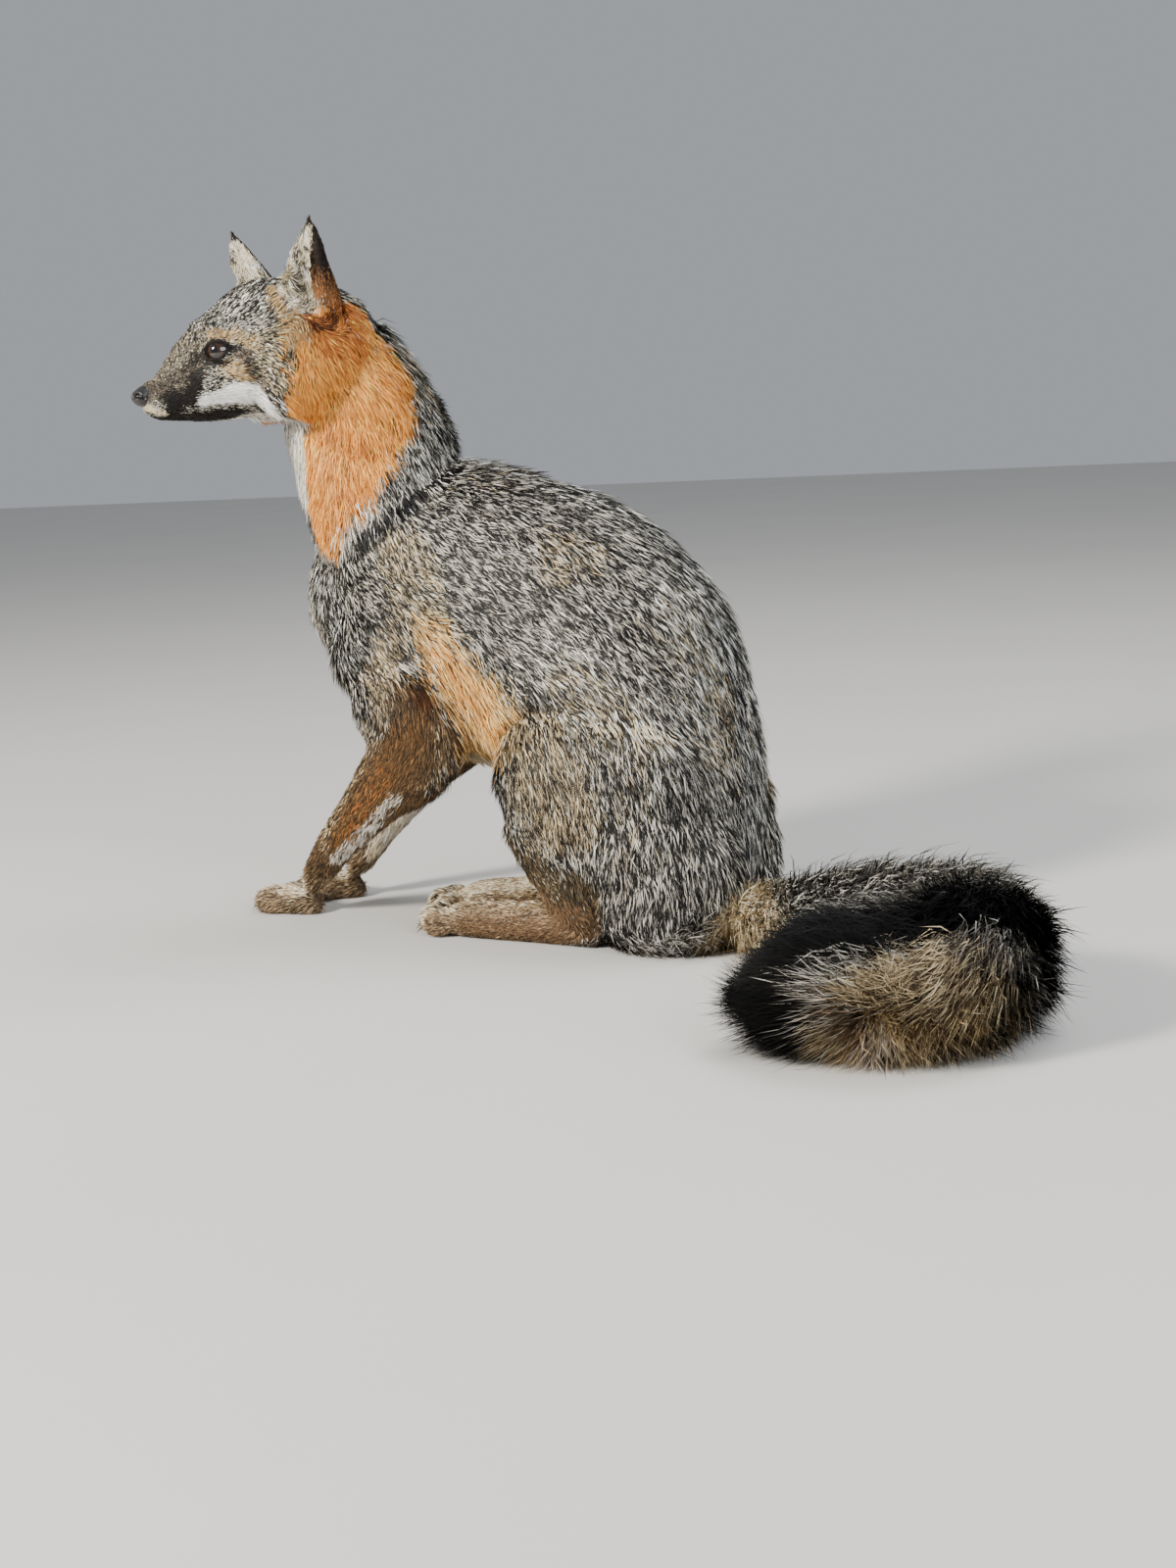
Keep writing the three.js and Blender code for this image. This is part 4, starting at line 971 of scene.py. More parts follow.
# -------- lie of the coat
# Lines that the hair follows: the length of the hair in mm, how far it stands up in degrees, and
# the points. All but the "one" lines are on the left side and mirrored to the right.
LIE = [
    ("head", 2.6, 10, [[-133, 0, 341], [-118, 0, 353]]),
    ("head", 4, 12, [[-118, 0, 353], [-96, 0, 370], [-80, 0, 383]]),
    ("head", 8.5, 12, [[-80, 0, 383], [-60, 0, 395], [-40, 0, 401]]),
    ("head", 11, 14, [[-40, 0, 401], [-15, 0, 396], [4, -4, 384]]),
    ("head", 4, 12, [[-108, -13, 352], [-97, -15, 366], [-86, -20, 374]]),
    ("head", 8, 12, [[-86, -20, 374], [-70, -22, 386], [-54, -20, 396]]),
    ("head", 8, 12, [[-78, -28, 369], [-62, -34, 372], [-50, -34, 382]]),
    ("head", 2.6, 8, [[-128, -8, 334], [-116, -14, 338]]),
    ("head", 4, 9, [[-116, -14, 338], [-102, -18, 342], [-90, -26, 346]]),
    ("head", 7.5, 10, [[-90, -26, 346], [-76, -33, 346], [-64, -38, 340]]),
    ("head", 11, 12, [[-64, -38, 340], [-54, -42, 330], [-48, -42, 318]]),
    ("head", 2, 8, [[-128, -8, 326], [-116, -13, 323]]),
    ("head", 3.5, 9, [[-116, -13, 324], [-100, -17, 327], [-86, -22, 330]]),
    ("head", 7, 10, [[-86, -23, 331], [-72, -29, 329], [-58, -33, 321]]),
    ("head", 3, 8, [[-125, 0, 319], [-105, -4, 316]]),
    ("head", 6, 12, [[-105, -4, 316], [-80, -8, 315], [-58, -12, 309]]),
    ("head", 9.5, 12, [[-76, -32, 362], [-62, -38, 356], [-54, -43, 344]]),
    ("head", 9, 12, [[-46, -38, 376], [-46, -42, 362], [-49, -45, 346], [-50, -43, 330]]),
    ("head", 9, 14, [[-44, -20, 398], [-42, -30, 390]]),
    ("head", 10, 14, [[-20, -26, 384], [-8, -32, 372], [2, -36, 358]]),
    ("head", 10, 14, [[-16, -10, 398], [0, -18, 384], [10, -24, 366]]),
    ("ear", 3.5, 8, [[-14, -34, 372], [-18, -42, 392], [-25, -46, 412], [-30, -46, 430]]),
    ("ear", 3.5, 8, [[-22, -48, 380], [-27, -52, 398], [-32, -49, 416]]),
    ("ear", 5, 8, [[-20, -20, 384], [-26, -24, 402], [-31, -34, 420]]),
    ("ear", 5.5, 10, [[-38, -26, 382], [-37, -32, 400], [-35, -36, 412]]),
    ("ear", 4, 9, [[-34, -40, 384], [-36, -42, 402], [-33, -42, 424]]),
    # neck
    ("neck", 14, 12, [["h", -40, -44, 356], ["h", -34, -46, 338], ["b", -102, -54, 306]]),
    ("neck", 17, 13, [["h", -28, -46, 352], ["h", -16, -48, 332], ["b", -78, -52, 300],
        ["b", -70, -57, 276]]),
    ("neck", 17, 14, [["h", -10, -42, 352], ["h", 4, -46, 330], ["b", -60, -40, 300]]),
    ("neck", 17, 14, [["b", -104, -54, 300], ["b", -104, -54, 270], ["b", -106, -50, 240]]),
    ("neck", 18, 14, [["b", -90, -56, 284], ["b", -82, -58, 262], ["b", -74, -62, 240]]),
    ("neck", 18, 14, [["b", -60, -44, 296], ["b", -46, -48, 274]]),
    ("neck", 18, 26, [["h", 12, -12, 372], ["h", 22, -20, 350], ["h", 28, -30, 326],
        ["b", -50, -10, 304]]),
    ("neck", 18, 22, [["b", -50, -8, 304], ["b", -36, -14, 284], ["b", -8, -16, 278]]),
    ("neck", 13, 12, [["h", -50, -8, 308], ["h", -46, -8, 288], ["b", -134, -24, 262],
        ["b", -142, -14, 230], ["b", -148, -8, 196]]),
    ("neck", 14, 12, [["h", -48, -28, 312], ["h", -44, -28, 292], ["b", -120, -44, 262],
        ["b", -126, -40, 226]]),
    # trunk
    ("body", 20, 12, [[-30, -6, 283], [10, -8, 276], [50, -8, 261], [82, -8, 242], [108, -8, 216]]),
    ("body", 22, 12, [[108, -8, 216], [126, -8, 180], [139, -8, 135], [145, -8, 90], [146, -10, 50],
        [142, -14, 22]]),
    ("body", 20, 12, [[-50, -44, 264], [-10, -54, 250], [32, -62, 230], [72, -66, 198], [106, -62, 156],
        [128, -52, 108], [138, -48, 60]]),
    ("body", 20, 12, [[-100, -54, 236], [-62, -66, 214], [-20, -72, 198], [22, -76, 176],
        [60, -78, 156]]),
    ("body", 18, 12, [[-126, -40, 214], [-104, -56, 186], [-84, -64, 168]]),
    ("body", 18, 12, [[-148, -12, 196], [-142, -14, 168], [-116, -18, 146]]),
    ("body", 19, 12, [[-70, -64, 196], [-46, -68, 172], [-26, -66, 146], [-12, -60, 122]]),
    ("body", 20, 12, [[-20, -72, 186], [4, -72, 160], [20, -74, 146]]),
    ("body", 16, 14, [[-110, -10, 140], [-60, -14, 118], [-10, -16, 98], [20, -18, 72]]),
    # thigh and rump
    ("body", 19, 10, [[22, -74, 148], [34, -86, 126], [44, -91, 100], [48, -90, 70], [50, -84, 40]]),
    ("body", 20, 10, [[64, -78, 142], [78, -88, 118], [88, -92, 90], [92, -90, 56], [92, -84, 20]]),
    ("body", 21, 12, [[100, -72, 136], [114, -78, 104], [120, -80, 68], [120, -76, 28]]),
    ("body", 15, 10, [[-4, -64, 118], [0, -74, 100], [8, -80, 80], [20, -82, 60]]),
    ("body", 12, 10, [[-12, -54, 104], [-6, -58, 80], [8, -62, 60]]),
    ("body", 23, 20, [[92, -84, 24], [96, -104, 12]]),
    ("body", 23, 20, [[120, -70, 26], [136, -88, 13]]),
    ("body", 22, 20, [[64, -78, 22], [66, -96, 11]]),
    ("body", 22, 18, [[140, -30, 26], [158, -38, 12]]),
    # hind legs
    ("one", 8, 10, [[12, -84, 78], [30, -83, 52], [44, -78, 30], [56, -72, 14]]),
    ("one", 8, 10, [[-2, -66, 76], [14, -60, 50], [32, -56, 30]]),
    ("one", 8, 10, [[12, 78, 78], [28, 64, 52], [40, 50, 30], [50, 36, 14]]),
    ("one", 8, 10, [[-2, 60, 76], [10, 44, 50], [26, 26, 30]]),
    ("one", 6, 11, [[62, -64, 26], [34, -60, 28], [0, -55, 23], [-40, -49, 18], [-62, -46, 8]]),
    ("one", 5, 13, [[48, -78, 10], [10, -72, 8], [-40, -64, 8], [-60, -58, 7]]),
    ("one", 5, 9, [[46, 26, 26], [20, 18, 28], [-14, 8, 23], [-56, -4, 18], [-76, -10, 8]]),
    # fore legs
    ("one", 12, 10, [[-46, -72, 156], [-44, -76, 130], [-54, -74, 108]]),
    ("one", 9, 10, [[-54, -74, 108], [-84, -62, 80], [-112, -48, 54], [-136, -34, 32]]),
    ("one", 9, 10, [[-84, -66, 122], [-100, -60, 96], [-122, -48, 66], [-144, -34, 38]]),
    ("one", 9, 10, [[-56, -32, 130], [-82, -26, 92], [-112, -14, 58], [-138, -6, 32]]),
    ("one", 12, 10, [[-50, 72, 156], [-50, 76, 130], [-62, 72, 108]]),
    ("one", 8, 10, [[-62, 72, 108], [-94, 64, 80], [-120, 56, 52], [-138, 50, 30]]),
    ("one", 8, 10, [[-60, 32, 130], [-88, 32, 92], [-114, 30, 60], [-132, 26, 34]]),
    ("one", 6.5, 13, [[-150, -20, 28], [-168, -14, 20], [-186, -8, 15], [-202, -4, 7]]),
    ("one", 6.5, 13, [[-144, 35, 27], [-160, 31, 20], [-178, 28, 15], [-192, 24, 7]]),
    # tail
    ("one", 26, 30, [[124, -20, 16], [156, -52, 20], [176, -70, 24]]),
    ("one", 34, 32, [[188, -80, 26], [238, -116, 34], [262, -134, 37]]),
    ("one", 36, 34, [[286, -150, 40], [303, -172, 41], [308, -190, 42], [302, -210, 42]]),
    ("one", 36, 34, [[296, -218, 42], [270, -231, 39], [246, -232, 36]]),
    ("one", 22, 16, [[234, -228, 50], [212, -224, 42], [192, -220, 34]]),
    ("one", 34, 14, [[232, -238, 14], [208, -232, 8], [188, -226, 4]]),
]
RUMP_MIDDLE = np.array([78.0, 0.0, 0.0])        # the rump's hair splays out from here on the floor
BRUSH_MIDDLE = np.array([258.0, -186.0, 0.0])   # and the tail's lowest hair from here
WHORL = np.array([266.0, -246.0, 9.0])          # where the tail's hair parts, on its outer side
WHORL_REACH = 38                                # in mm
WHORL_PULL, RUMP_PULL, BRUSH_PULL = 2.2, 1.3, 1.4    # how strongly each bends the lie
WHORL_LIFT, RUMP_LIFT, BRUSH_LIFT = -6, 12, 22       # degrees that each adds to its stand


def lie_samples():
    """Points along the lines of lie, about 8 mm apart, with direction, length and lift."""
    rows = []
    for where, length, lift, line in LIE:
        if where == "ear":
            left = np.array(line, float)
            right = lean(left * [1, -1, 1])
            paths = [from_head(left), from_head(right)]
        elif where == "neck":
            tagged = [[*row, 0] for row in line]
            paths = [part[:, :3] for part in expanded("neck", tagged)]
        elif where in ("head", "body"):
            paths = [part.copy() for part in both_sides(line)]
            if where == "head":
                paths = [from_head(part) for part in paths]
        else:
            paths = [np.array(line, float)]
        for path in paths:
            for a, b in zip(path, path[1:]):
                far = np.linalg.norm(b - a)
                for share in (np.arange(max(1, round(far / 8))) + 0.5) / max(1, round(far / 8)):
                    rows.append([*(a + (b - a) * share), *((b - a) / far), length, lift])
    return np.array(rows)


def lie_field(points, normals):
    """Direction, length and lift of the hair at every point of the skin."""
    samples = lie_samples()
    flow, length, lift = np.zeros((len(points), 3)), np.zeros(len(points)), np.zeros(len(points))
    for start in range(0, len(points), 8000):
        part = slice(start, start + 8000)
        near = points[part]
        gap = (near ** 2).sum(1)[:, None] + (samples[:, :3] ** 2).sum(1) - 2 * near @ samples[:, :3].T
        weight = 1 / (np.maximum(gap, 0) + 5) ** 2
        weight /= weight.sum(1, keepdims=True)
        flow[part] = weight @ samples[:, 3:6]
        length[part], lift[part] = weight @ samples[:, 6], weight @ samples[:, 7]
    share, gap = tail_share(points)
    spread = points - WHORL
    near = np.exp(-(np.linalg.norm(spread, axis=1) / WHORL_REACH) ** 2) * step(share, 0.4, 0.5)
    near *= step(-gap, -30, -24)
    flow += unit(spread) * (near * WHORL_PULL)[:, None]
    rump = step(points[:, 0], 52, 70) * step(gap, 26, 34) * step(-points[:, 2], -30, -8)
    flow += unit((points - RUMP_MIDDLE) * [1, 1, 0]) * (rump * RUMP_PULL)[:, None]
    brush = step(-gap, -32, -26) * step(share, 0.25, 0.4) * step(-points[:, 2], -36, -22)
    flow += unit((points - BRUSH_MIDDLE) * [1, 1, 0]) * (brush * BRUSH_PULL)[:, None]
    lift = lift + near * WHORL_LIFT
    lift += rump * RUMP_LIFT + brush * BRUSH_LIFT
    flow -= normals * (flow * normals).sum(1, keepdims=True)
    return unit(flow), length, np.radians(lift)


# -------- materials
def add(tree, kind, inputs=None, **settings):
    """Adds one node with its settings, its numbers and its links."""
    node = tree.nodes.new(kind)
    for name, value in settings.items():
        setattr(node, name, value)
    for name, value in (inputs or {}).items():
        if isinstance(value, bpy.types.NodeSocket):
            tree.links.new(value, node.inputs[name])
        else:
            node.inputs[name].default_value = value
    return node


def material(name, build):
    """A material whose surface is what "build" adds to its empty tree."""
    made = bpy.data.materials.new(name)
    made.use_nodes = True
    tree = made.node_tree
    tree.nodes.clear()
    shader = build(tree)
    add(tree, "ShaderNodeOutputMaterial", {"Surface": shader.outputs[0]})
    return made


def rgba(code):
    return (*linear(code), 1)


def mix(tree, share, first, second, **settings):
    node = add(tree, "ShaderNodeMix", {"Factor": share, 6: first, 7: second}, data_type="RGBA",
               **settings)
    return node.outputs[2]


def texture(tree, kind, scale, **inputs):
    """A texture laid out on the object itself."""
    place = add(tree, "ShaderNodeTexCoord").outputs["Object"]
    return add(tree, "ShaderNodeTex" + kind, {"Vector": place, "Scale": scale, **inputs}).outputs[0]


def bump(tree, height, strength, distance, **settings):
    inputs = {"Height": height, "Strength": strength, "Distance": distance}
    return add(tree, "ShaderNodeBump", inputs, **settings).outputs[0]


def surface(tree, colour, roughness, **inputs):
    """A principled surface. An underscore in an input's name stands for its space."""
    named = {name.replace("_", " "): value for name, value in inputs.items()}
    return add(tree, "ShaderNodeBsdfPrincipled", {"Base Color": colour, "Roughness": roughness, **named})


BAND_SHARPNESS = 7.0                           # a band gives way to the next in 1/7 of the hair


def hair_shader(roughness, gloss):
    """Keratin guard hair: a dull soft gloss along each hair, banded from root to tip."""
    def build(tree):
        root, *parts = (add(tree, "ShaderNodeAttribute", attribute_name="hair_" + part)
                        for part in ("root", "band", "tip"))
        colour = root.outputs["Color"]
        for part in parts:
            past = add(tree, "ShaderNodeMath", {0: root.outputs["Alpha"], 1: part.outputs["Alpha"]},
                       operation="SUBTRACT")
            share = add(tree, "ShaderNodeMath", {0: past.outputs[0], 1: BAND_SHARPNESS, 2: 0.5},
                        operation="MULTIPLY_ADD", use_clamp=True)
            colour = mix(tree, share.outputs[0], colour, part.outputs["Color"])
        return surface(tree, colour, roughness, IOR=1.55, Specular_IOR_Level=gloss)
    return build


def skin_shader(tree):
    """Tanned skin and underfur: matt, with the coat's own colours and a fine nap."""
    marks = add(tree, "ShaderNodeAttribute", attribute_name="coat_colour").outputs["Color"]
    # underfur lies in locks about 1.2 mm across
    nap = texture(tree, "Noise", 800.0, Detail=3.0, Roughness=0.6)
    # darker where the nap is low: painted shade in its hollows
    darker = mix(tree, nap, (0.45, 0.42, 0.40, 1), (1.0, 1.0, 1.0, 1))
    colour = mix(tree, 1.0, marks, darker, blend_type="MULTIPLY")
    return surface(tree, colour, 0.75, Specular_IOR_Level=0.25, Normal=bump(tree, nap, 0.6, 0.0006))


def nose_shader(tree):
    """Nose leather: black, pebbled about 0.7 mm across, half glossy as if moist."""
    pebbles = texture(tree, "Voronoi", 1400.0)
    relief = bump(tree, pebbles, 0.5, 0.0003, invert=True)
    # darker towards the grooves between the pebbles: painted shade
    tone = mix(tree, pebbles, rgba("#2a2727"), rgba("#0e0d0d"))
    return surface(tree, tone, 0.36, Normal=relief, Coat_Weight=0.15, Coat_Roughness=0.2)


def claw_shader(tree):
    """Claw horn: dull grey-brown keratin, paler towards the point, with fine growth lines."""
    share = add(tree, "ShaderNodeAttribute", attribute_name="claw_share").outputs["Fac"]
    relief = bump(tree, texture(tree, "Noise", 1500.0, Detail=2.0), 0.2, 0.0002)
    tone = mix(tree, share, rgba("#2b241d"), rgba("#6f6252"))
    return surface(tree, tone, 0.42, IOR=1.54, Normal=relief)


def eye_shader(tree):
    """Taxidermist's glass eye: painted brown iris and upright pupil under clear domed glass."""
    def ramp(value, start, end, low=0.0, high=1.0, kind="LINEAR"):
        return add(tree, "ShaderNodeMapRange", {
            "Value": value, "From Min": start, "From Max": end, "To Min": low, "To Max": high,
        }, interpolation_type=kind).outputs[0]

    def radius(vector):
        return add(tree, "ShaderNodeVectorMath", {0: vector}, operation="LENGTH").outputs["Value"]

    disc = add(tree, "ShaderNodeUVMap", uv_map="Iris").outputs[0]
    parts = add(tree, "ShaderNodeSeparateXYZ", {0: disc})
    narrow = add(tree, "ShaderNodeMath", {0: parts.outputs["X"], 1: 2.1}, operation="MULTIPLY")
    oval = add(tree, "ShaderNodeCombineXYZ", {"X": narrow.outputs[0], "Y": parts.outputs["Y"]})
    threads = add(tree, "ShaderNodeTexNoise", {"Vector": disc, "Scale": 7.0, "Detail": 4.0})
    iris = mix(tree, threads.outputs[0], rgba("#160a04"), rgba("#3c200e"))
    limbus = ramp(radius(disc), 0.62, 0.80, kind="SMOOTHSTEP")
    ringed = mix(tree, limbus, iris, rgba("#0d0806"))
    pupil = ramp(radius(oval.outputs[0]), 0.46, 0.53, 1.0, 0.0)
    painted = mix(tree, pupil, ringed, rgba("#030202"))
    return surface(tree, painted, 0.04, IOR=1.5, Coat_Weight=1.0, Coat_Roughness=0.02)


# -------- small pieces
def finished(name, verts, faces, finish):
    """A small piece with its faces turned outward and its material."""
    piece = mesh_object(name, metres(verts), faces)
    turned_out(piece.data)
    piece.data.materials.append(finish)
    piece.data.polygons.foreach_set("use_smooth", [True] * len(piece.data.polygons))
    return piece


def make_eye(side, finish):
    """A ball with a low dome over the iris. Its Iris map is square to the way it looks."""
    centre, gaze, back, up = eye_frame(side)
    verts, faces = ball([0, 0, 0], [1, 1, 1], around=64, rings=40)
    dome = step(verts[:, 2], 0.72, 1.0) * CORNEA_RISE
    shaped = verts * (1 + dome)[:, None] * (EYE_RADIUS - EYE_SLACK)
    points = centre + shaped[:, :1] * back + shaped[:, 1:2] * up + shaped[:, 2:] * gaze
    name = "eye_glass_left" if side < 0 else "eye_glass_right"
    piece = finished(name, from_head(points), faces, finish)
    disc = piece.data.uv_layers.new(name="Iris")
    corner = read(piece.data.loops, "vertex_index", 1, np.int32)
    disc.data.foreach_set("uv", verts[corner][:, :2].astype(np.float32).ravel())
    return piece


def make_nose(finish):
    """Nose pad with two comma-shaped nostrils and the groove between them."""
    verts, faces = ball(NOSE_CENTRE, NOSE_REACH, sink=0.2, around=72, rings=48)
    slope = np.maximum(verts[:, 2] - NOSE_CENTRE[2], 0) * 0.5
    normal = unit((verts - NOSE_CENTRE) / np.array(NOSE_REACH) ** 2)
    groove = np.exp(-(verts[:, 1] / 0.55) ** 2) * step(-verts[:, 2], -337, -333)
    push = -groove * 0.7 * step(-verts[:, 0], 131, 134)
    for line in both_sides(NOSTRIL):
        hole = line_distance(verts, line)
        push -= (1 - step(hole, -0.2, 0.9)) * 3.0
        push += np.exp(-((hole - 1.4) / 0.7) ** 2) * 0.3
    verts = verts + normal * push[:, None]
    verts[:, 0] += slope
    return finished("nose_leather_pad", from_head(verts), faces, finish)


def make_claws(finish):
    """A curved claw in front of each toe, thick at its root and drawn down to a point."""
    solids, shares = [], []
    steps = np.linspace(0, 1, 9)
    bearing = np.linspace(0, 2 * np.pi, 12, endpoint=False)
    forward = 3.5 + steps * 10.5
    height = 7.2 - steps ** 2 * 5.4
    reach = 1.5 * (1 - steps ** 1.6) + 0.12
    for heel, toe, size in FEET:
        places, way = toe_places(heel, toe, size["width"])
        left = np.array([-way[1], way[0], 0])
        for place in places:
            middle = np.stack([place[0] + way[0] * forward, place[1] + way[1] * forward, height], 1)
            rings = (middle[:, None] + left * (np.cos(bearing) * reach[:, None] * 0.7)[..., None]
                     + np.array([0, 0, 1]) * (np.sin(bearing) * reach[:, None])[..., None])
            point = middle[-1] + [way[0] * 0.3, way[1] * 0.3, -0.2]
            solids.append(closed_tube(rings, middle[0] - [way[0], way[1], 0], point))
            shares += list(np.repeat(steps, len(bearing))) + [0, 1]
    verts, faces = joined(solids)
    verts[:, 2] = np.maximum(verts[:, 2], 0.2)
    piece = finished("claws", verts, faces, finish)
    piece.data.attributes.new("claw_share", "FLOAT", "POINT").data.foreach_set("value", shares)
    return piece


# -------- tufts
def unwrapped(name, points, triangles):
    """A stretch of skin unfolded on its own shape: for each triangle, its corners' places."""
    used, renumbered = np.unique(triangles, return_inverse=True)
    patch = mesh_object(name, points[used], renumbered.reshape(-1, 3))
    bpy.context.view_layer.objects.active = patch
    patch.select_set(True)
    bpy.ops.object.mode_set(mode="EDIT")
    bpy.ops.mesh.select_all(action="SELECT")
    bpy.ops.uv.smart_project(angle_limit=1.15, island_margin=0.004, scale_to_bounds=True)
    bpy.ops.object.mode_set(mode="OBJECT")
    corner = read(patch.data.loops, "vertex_index", 1, np.int32)
    places = read(patch.data.uv_layers.active.data, "uv", 2).reshape(-1, 3, 2).astype(float)
    corners = used[corner.reshape(-1, 3)]
    bpy.data.objects.remove(patch)
    return corners, places


FRINGE_FROM, FRINGE_GIVE = -284, 6             # the tail's fringe is pressed back from here, in Y
ROOT_DEPTH, ROOT_SHARE = 0.8, 0.06             # roots in the skin: in mm, and at most of the length
LENGTHS = (0.72, 1.2)                          # the shortest and longest tuft of a stretch
STRAY_SHARE, STRAY_LENGTH = 0.07, 1.22         # some tufts stand out beyond a long coat
BLADE_WIDTHS = (1.0, 0.8)                      # from the first joint on
UNWRAPPED_WIDTH = 0.0015                       # half a tuft's size on the coat's own map


def set_colours(mesh, label, colours):
    """Keeps a colour and a fourth number for each vertex, for a material to read."""
    attribute = mesh.attributes.new(label, "FLOAT_COLOR", "POINT")
    attribute.data.foreach_set("color", colours.astype(np.float32).ravel())


def hair_colours(root, normal, tip, length):
    """Each tuft's colour at its root, in its band and at its tip, and where those two begin."""
    count = len(root)
    coat = choose_coats(root + (tip - root) * 0.7, normal, root)
    long = step(length, 22, 30)
    dark = rng.random(count) < DARK_SHARE[coat] + value_noise(root, 6, 21) * 0.4 * long
    lock = value_noise(root, 7, 12) * 0.05 + value_noise(root, 3, 13) * 0.08
    lock = lock * (1 + 3 * long) + value_noise(root, 1.8, 14) * 0.3 * (1 - step(length, 7, 12))
    tone = np.exp(rng.normal(0, 1, count) * VARIETY[coat] + lock)[:, None]
    starts = np.clip(BAND_FROM[coat] + rng.normal(0, 0.10, count), 0.05, 0.9)
    ends = np.clip(TIP_FROM[coat] + rng.normal(0, 0.09, count), 0.2, 1.0)
    band = np.where(dark[:, None], TIP_COLOUR[coat], BAND_COLOUR[coat]) * tone
    tips = TIP_COLOUR[coat] * np.minimum(tone, 1.3)
    return {
        "hair_root": (ROOT_COLOUR[coat] * tone, None), "hair_band": (band, starts),
        "hair_tip": (tips, ends),
    }


def grow(name, skin, chosen, count, segments, width, finish, slot):
    """One piece of the coat: "count" tufts rooted on the chosen triangles of the skin."""
    corners, unfolded = unwrapped(name + "_patch", skin["points"], skin["triangles"][chosen])
    first, second, third = (skin["points"][corners[:, k]] for k in range(3))
    area = 0.5 * np.linalg.norm(np.cross(second - first, third - first), axis=1)
    want = area * skin["density"][corners].mean(1)
    face = rng.choice(len(corners), count, p=want / want.sum())
    r, s = np.sqrt(rng.random(count)), rng.random(count)
    share = np.stack([1 - r, r * (1 - s), r * s], 1)

    def at_roots(field):
        values = field[corners[face]]
        return (values * (share[..., None] if values.ndim == 3 else share)).sum(1)

    root, normal = at_roots(skin["points"]), unit(at_roots(skin["normals"]))
    flow, lift = unit(at_roots(skin["flow"])), at_roots(skin["lift"])
    length = at_roots(skin["length"]) * rng.uniform(*LENGTHS, count)
    length *= np.where((rng.random(count) < STRAY_SHARE) & (length > 24), STRAY_LENGTH, 1)
    side = np.cross(normal, flow)
    loose = 1 + np.clip(length / 20 - 1, 0, 1)
    lump = (value_noise(root, 9, 1) * 0.16 + value_noise(root, 3.5, 2) * 0.12) * loose
    yaw = rng.normal(0, 1, count) * 0.16 + lump
    curl = rng.normal(0, 1, count) * np.clip(0.008 * length, 0, 0.16)
    lift = lift * np.clip(1 + rng.normal(0, 0.28, count) + value_noise(root, 6, 4) * 0.35, 0.3, 2.2)
    spine = [root - normal * np.minimum(ROOT_DEPTH, length * ROOT_SHARE)[:, None]]
    for k in range(segments):
        rise = lift * (1.5 - 0.9 * k / (segments - 1))
        swing = yaw + curl * k
        level = flow * np.cos(swing)[:, None] + side * np.sin(swing)[:, None]
        way = level * np.cos(rise)[:, None] + normal * np.sin(rise)[:, None]
        way[:, 2] -= 0.12 * (k + 1) * np.clip(length / 40, 0, 1)
        spine.append(spine[-1] + unit(way) * (length / segments)[:, None])
    for joint in spine[1:]:
        joint[:, 2] = np.maximum(joint[:, 2], 0.4 + rng.random(count) * 0.8)
        past = np.maximum(FRINGE_FROM - joint[:, 1], 0)
        joint[:, 1] += past - past / (1 + past / FRINGE_GIVE)
    roll = np.clip(rng.normal(0, 0.4, count), -0.9, 0.9)
    side = side * np.cos(yaw)[:, None] - flow * np.sin(yaw)[:, None]
    blade = side * np.cos(roll)[:, None] + normal * np.sin(roll)[:, None]
    half = width * np.clip(0.34 + 0.045 * length, 0.42, 1.25) * rng.uniform(0.7, 1.25, count) / 2
    verts = [spine[0]]
    for joint, narrower in zip(spine[1:-1], BLADE_WIDTHS):
        reach = blade * (half * narrower)[:, None]
        verts += [joint - reach, joint + reach]
    verts = np.stack([*verts, spine[-1]], 1)
    per = 2 * segments
    pattern = [(0, 1, 2)]
    for left in range(1, per - 3, 2):
        pattern += [(left + 1, left, left + 2), (left + 1, left + 2, left + 3)]
    pattern.append((per - 2, per - 3, per - 1))
    faces = (np.arange(count)[:, None, None] * per + np.array(pattern)[None]).reshape(-1)

    mesh = bpy.data.meshes.new(name)
    mesh.vertices.add(count * per)
    set_vertices(mesh, metres(verts.reshape(-1, 3)))
    mesh.loops.add(len(faces))
    mesh.loops.foreach_set("vertex_index", faces.astype(np.int32))
    mesh.polygons.add(len(faces) // 3)
    mesh.polygons.foreach_set("loop_start", np.arange(0, len(faces), 3, dtype=np.int32))
    mesh.update(calc_edges=True)
    mesh.polygons.foreach_set("use_smooth", np.ones(len(faces) // 3, bool))

    along = np.concatenate([[0.0], np.repeat(np.arange(1, segments) / segments, 2), [1.0]])
    across = np.concatenate([[0.0], np.tile([-1.0, 1.0], segments - 1), [0.0]])
    patch = (unfolded[face] * share[..., None]).sum(1)
    uv = patch[:, None] + np.stack([across, along * 2 - 1], 1)[None] * UNWRAPPED_WIDTH
    layer = mesh.uv_layers.new(name="OFBake")
    layer.data.foreach_set("uv", uv.reshape(-1, 2)[faces].astype(np.float32).ravel())

    for label, (colour, start) in hair_colours(root, normal, spine[-1], length).items():
        values = np.empty((count, per, 4), np.float32)
        values[..., :3] = np.clip(colour, 0, 1)[:, None]
        values[..., 3] = along if start is None else start[:, None]
        set_colours(mesh, label, values)
    # shaded mostly as the skin below, a little as a rounded blade
    face_way = unit(np.cross(spine[1] - spine[0], blade))
    lean_out = normal * 0.75 + face_way * 0.35
    shading = unit(lean_out[:, None] + blade[:, None] * (across * 0.35)[None, :, None])
    mesh.normals_split_custom_set_from_vertices(shading.reshape(-1, 3).astype(np.float32))
    mesh.materials.append(finish)
    piece = placed(name, mesh)
    return piece


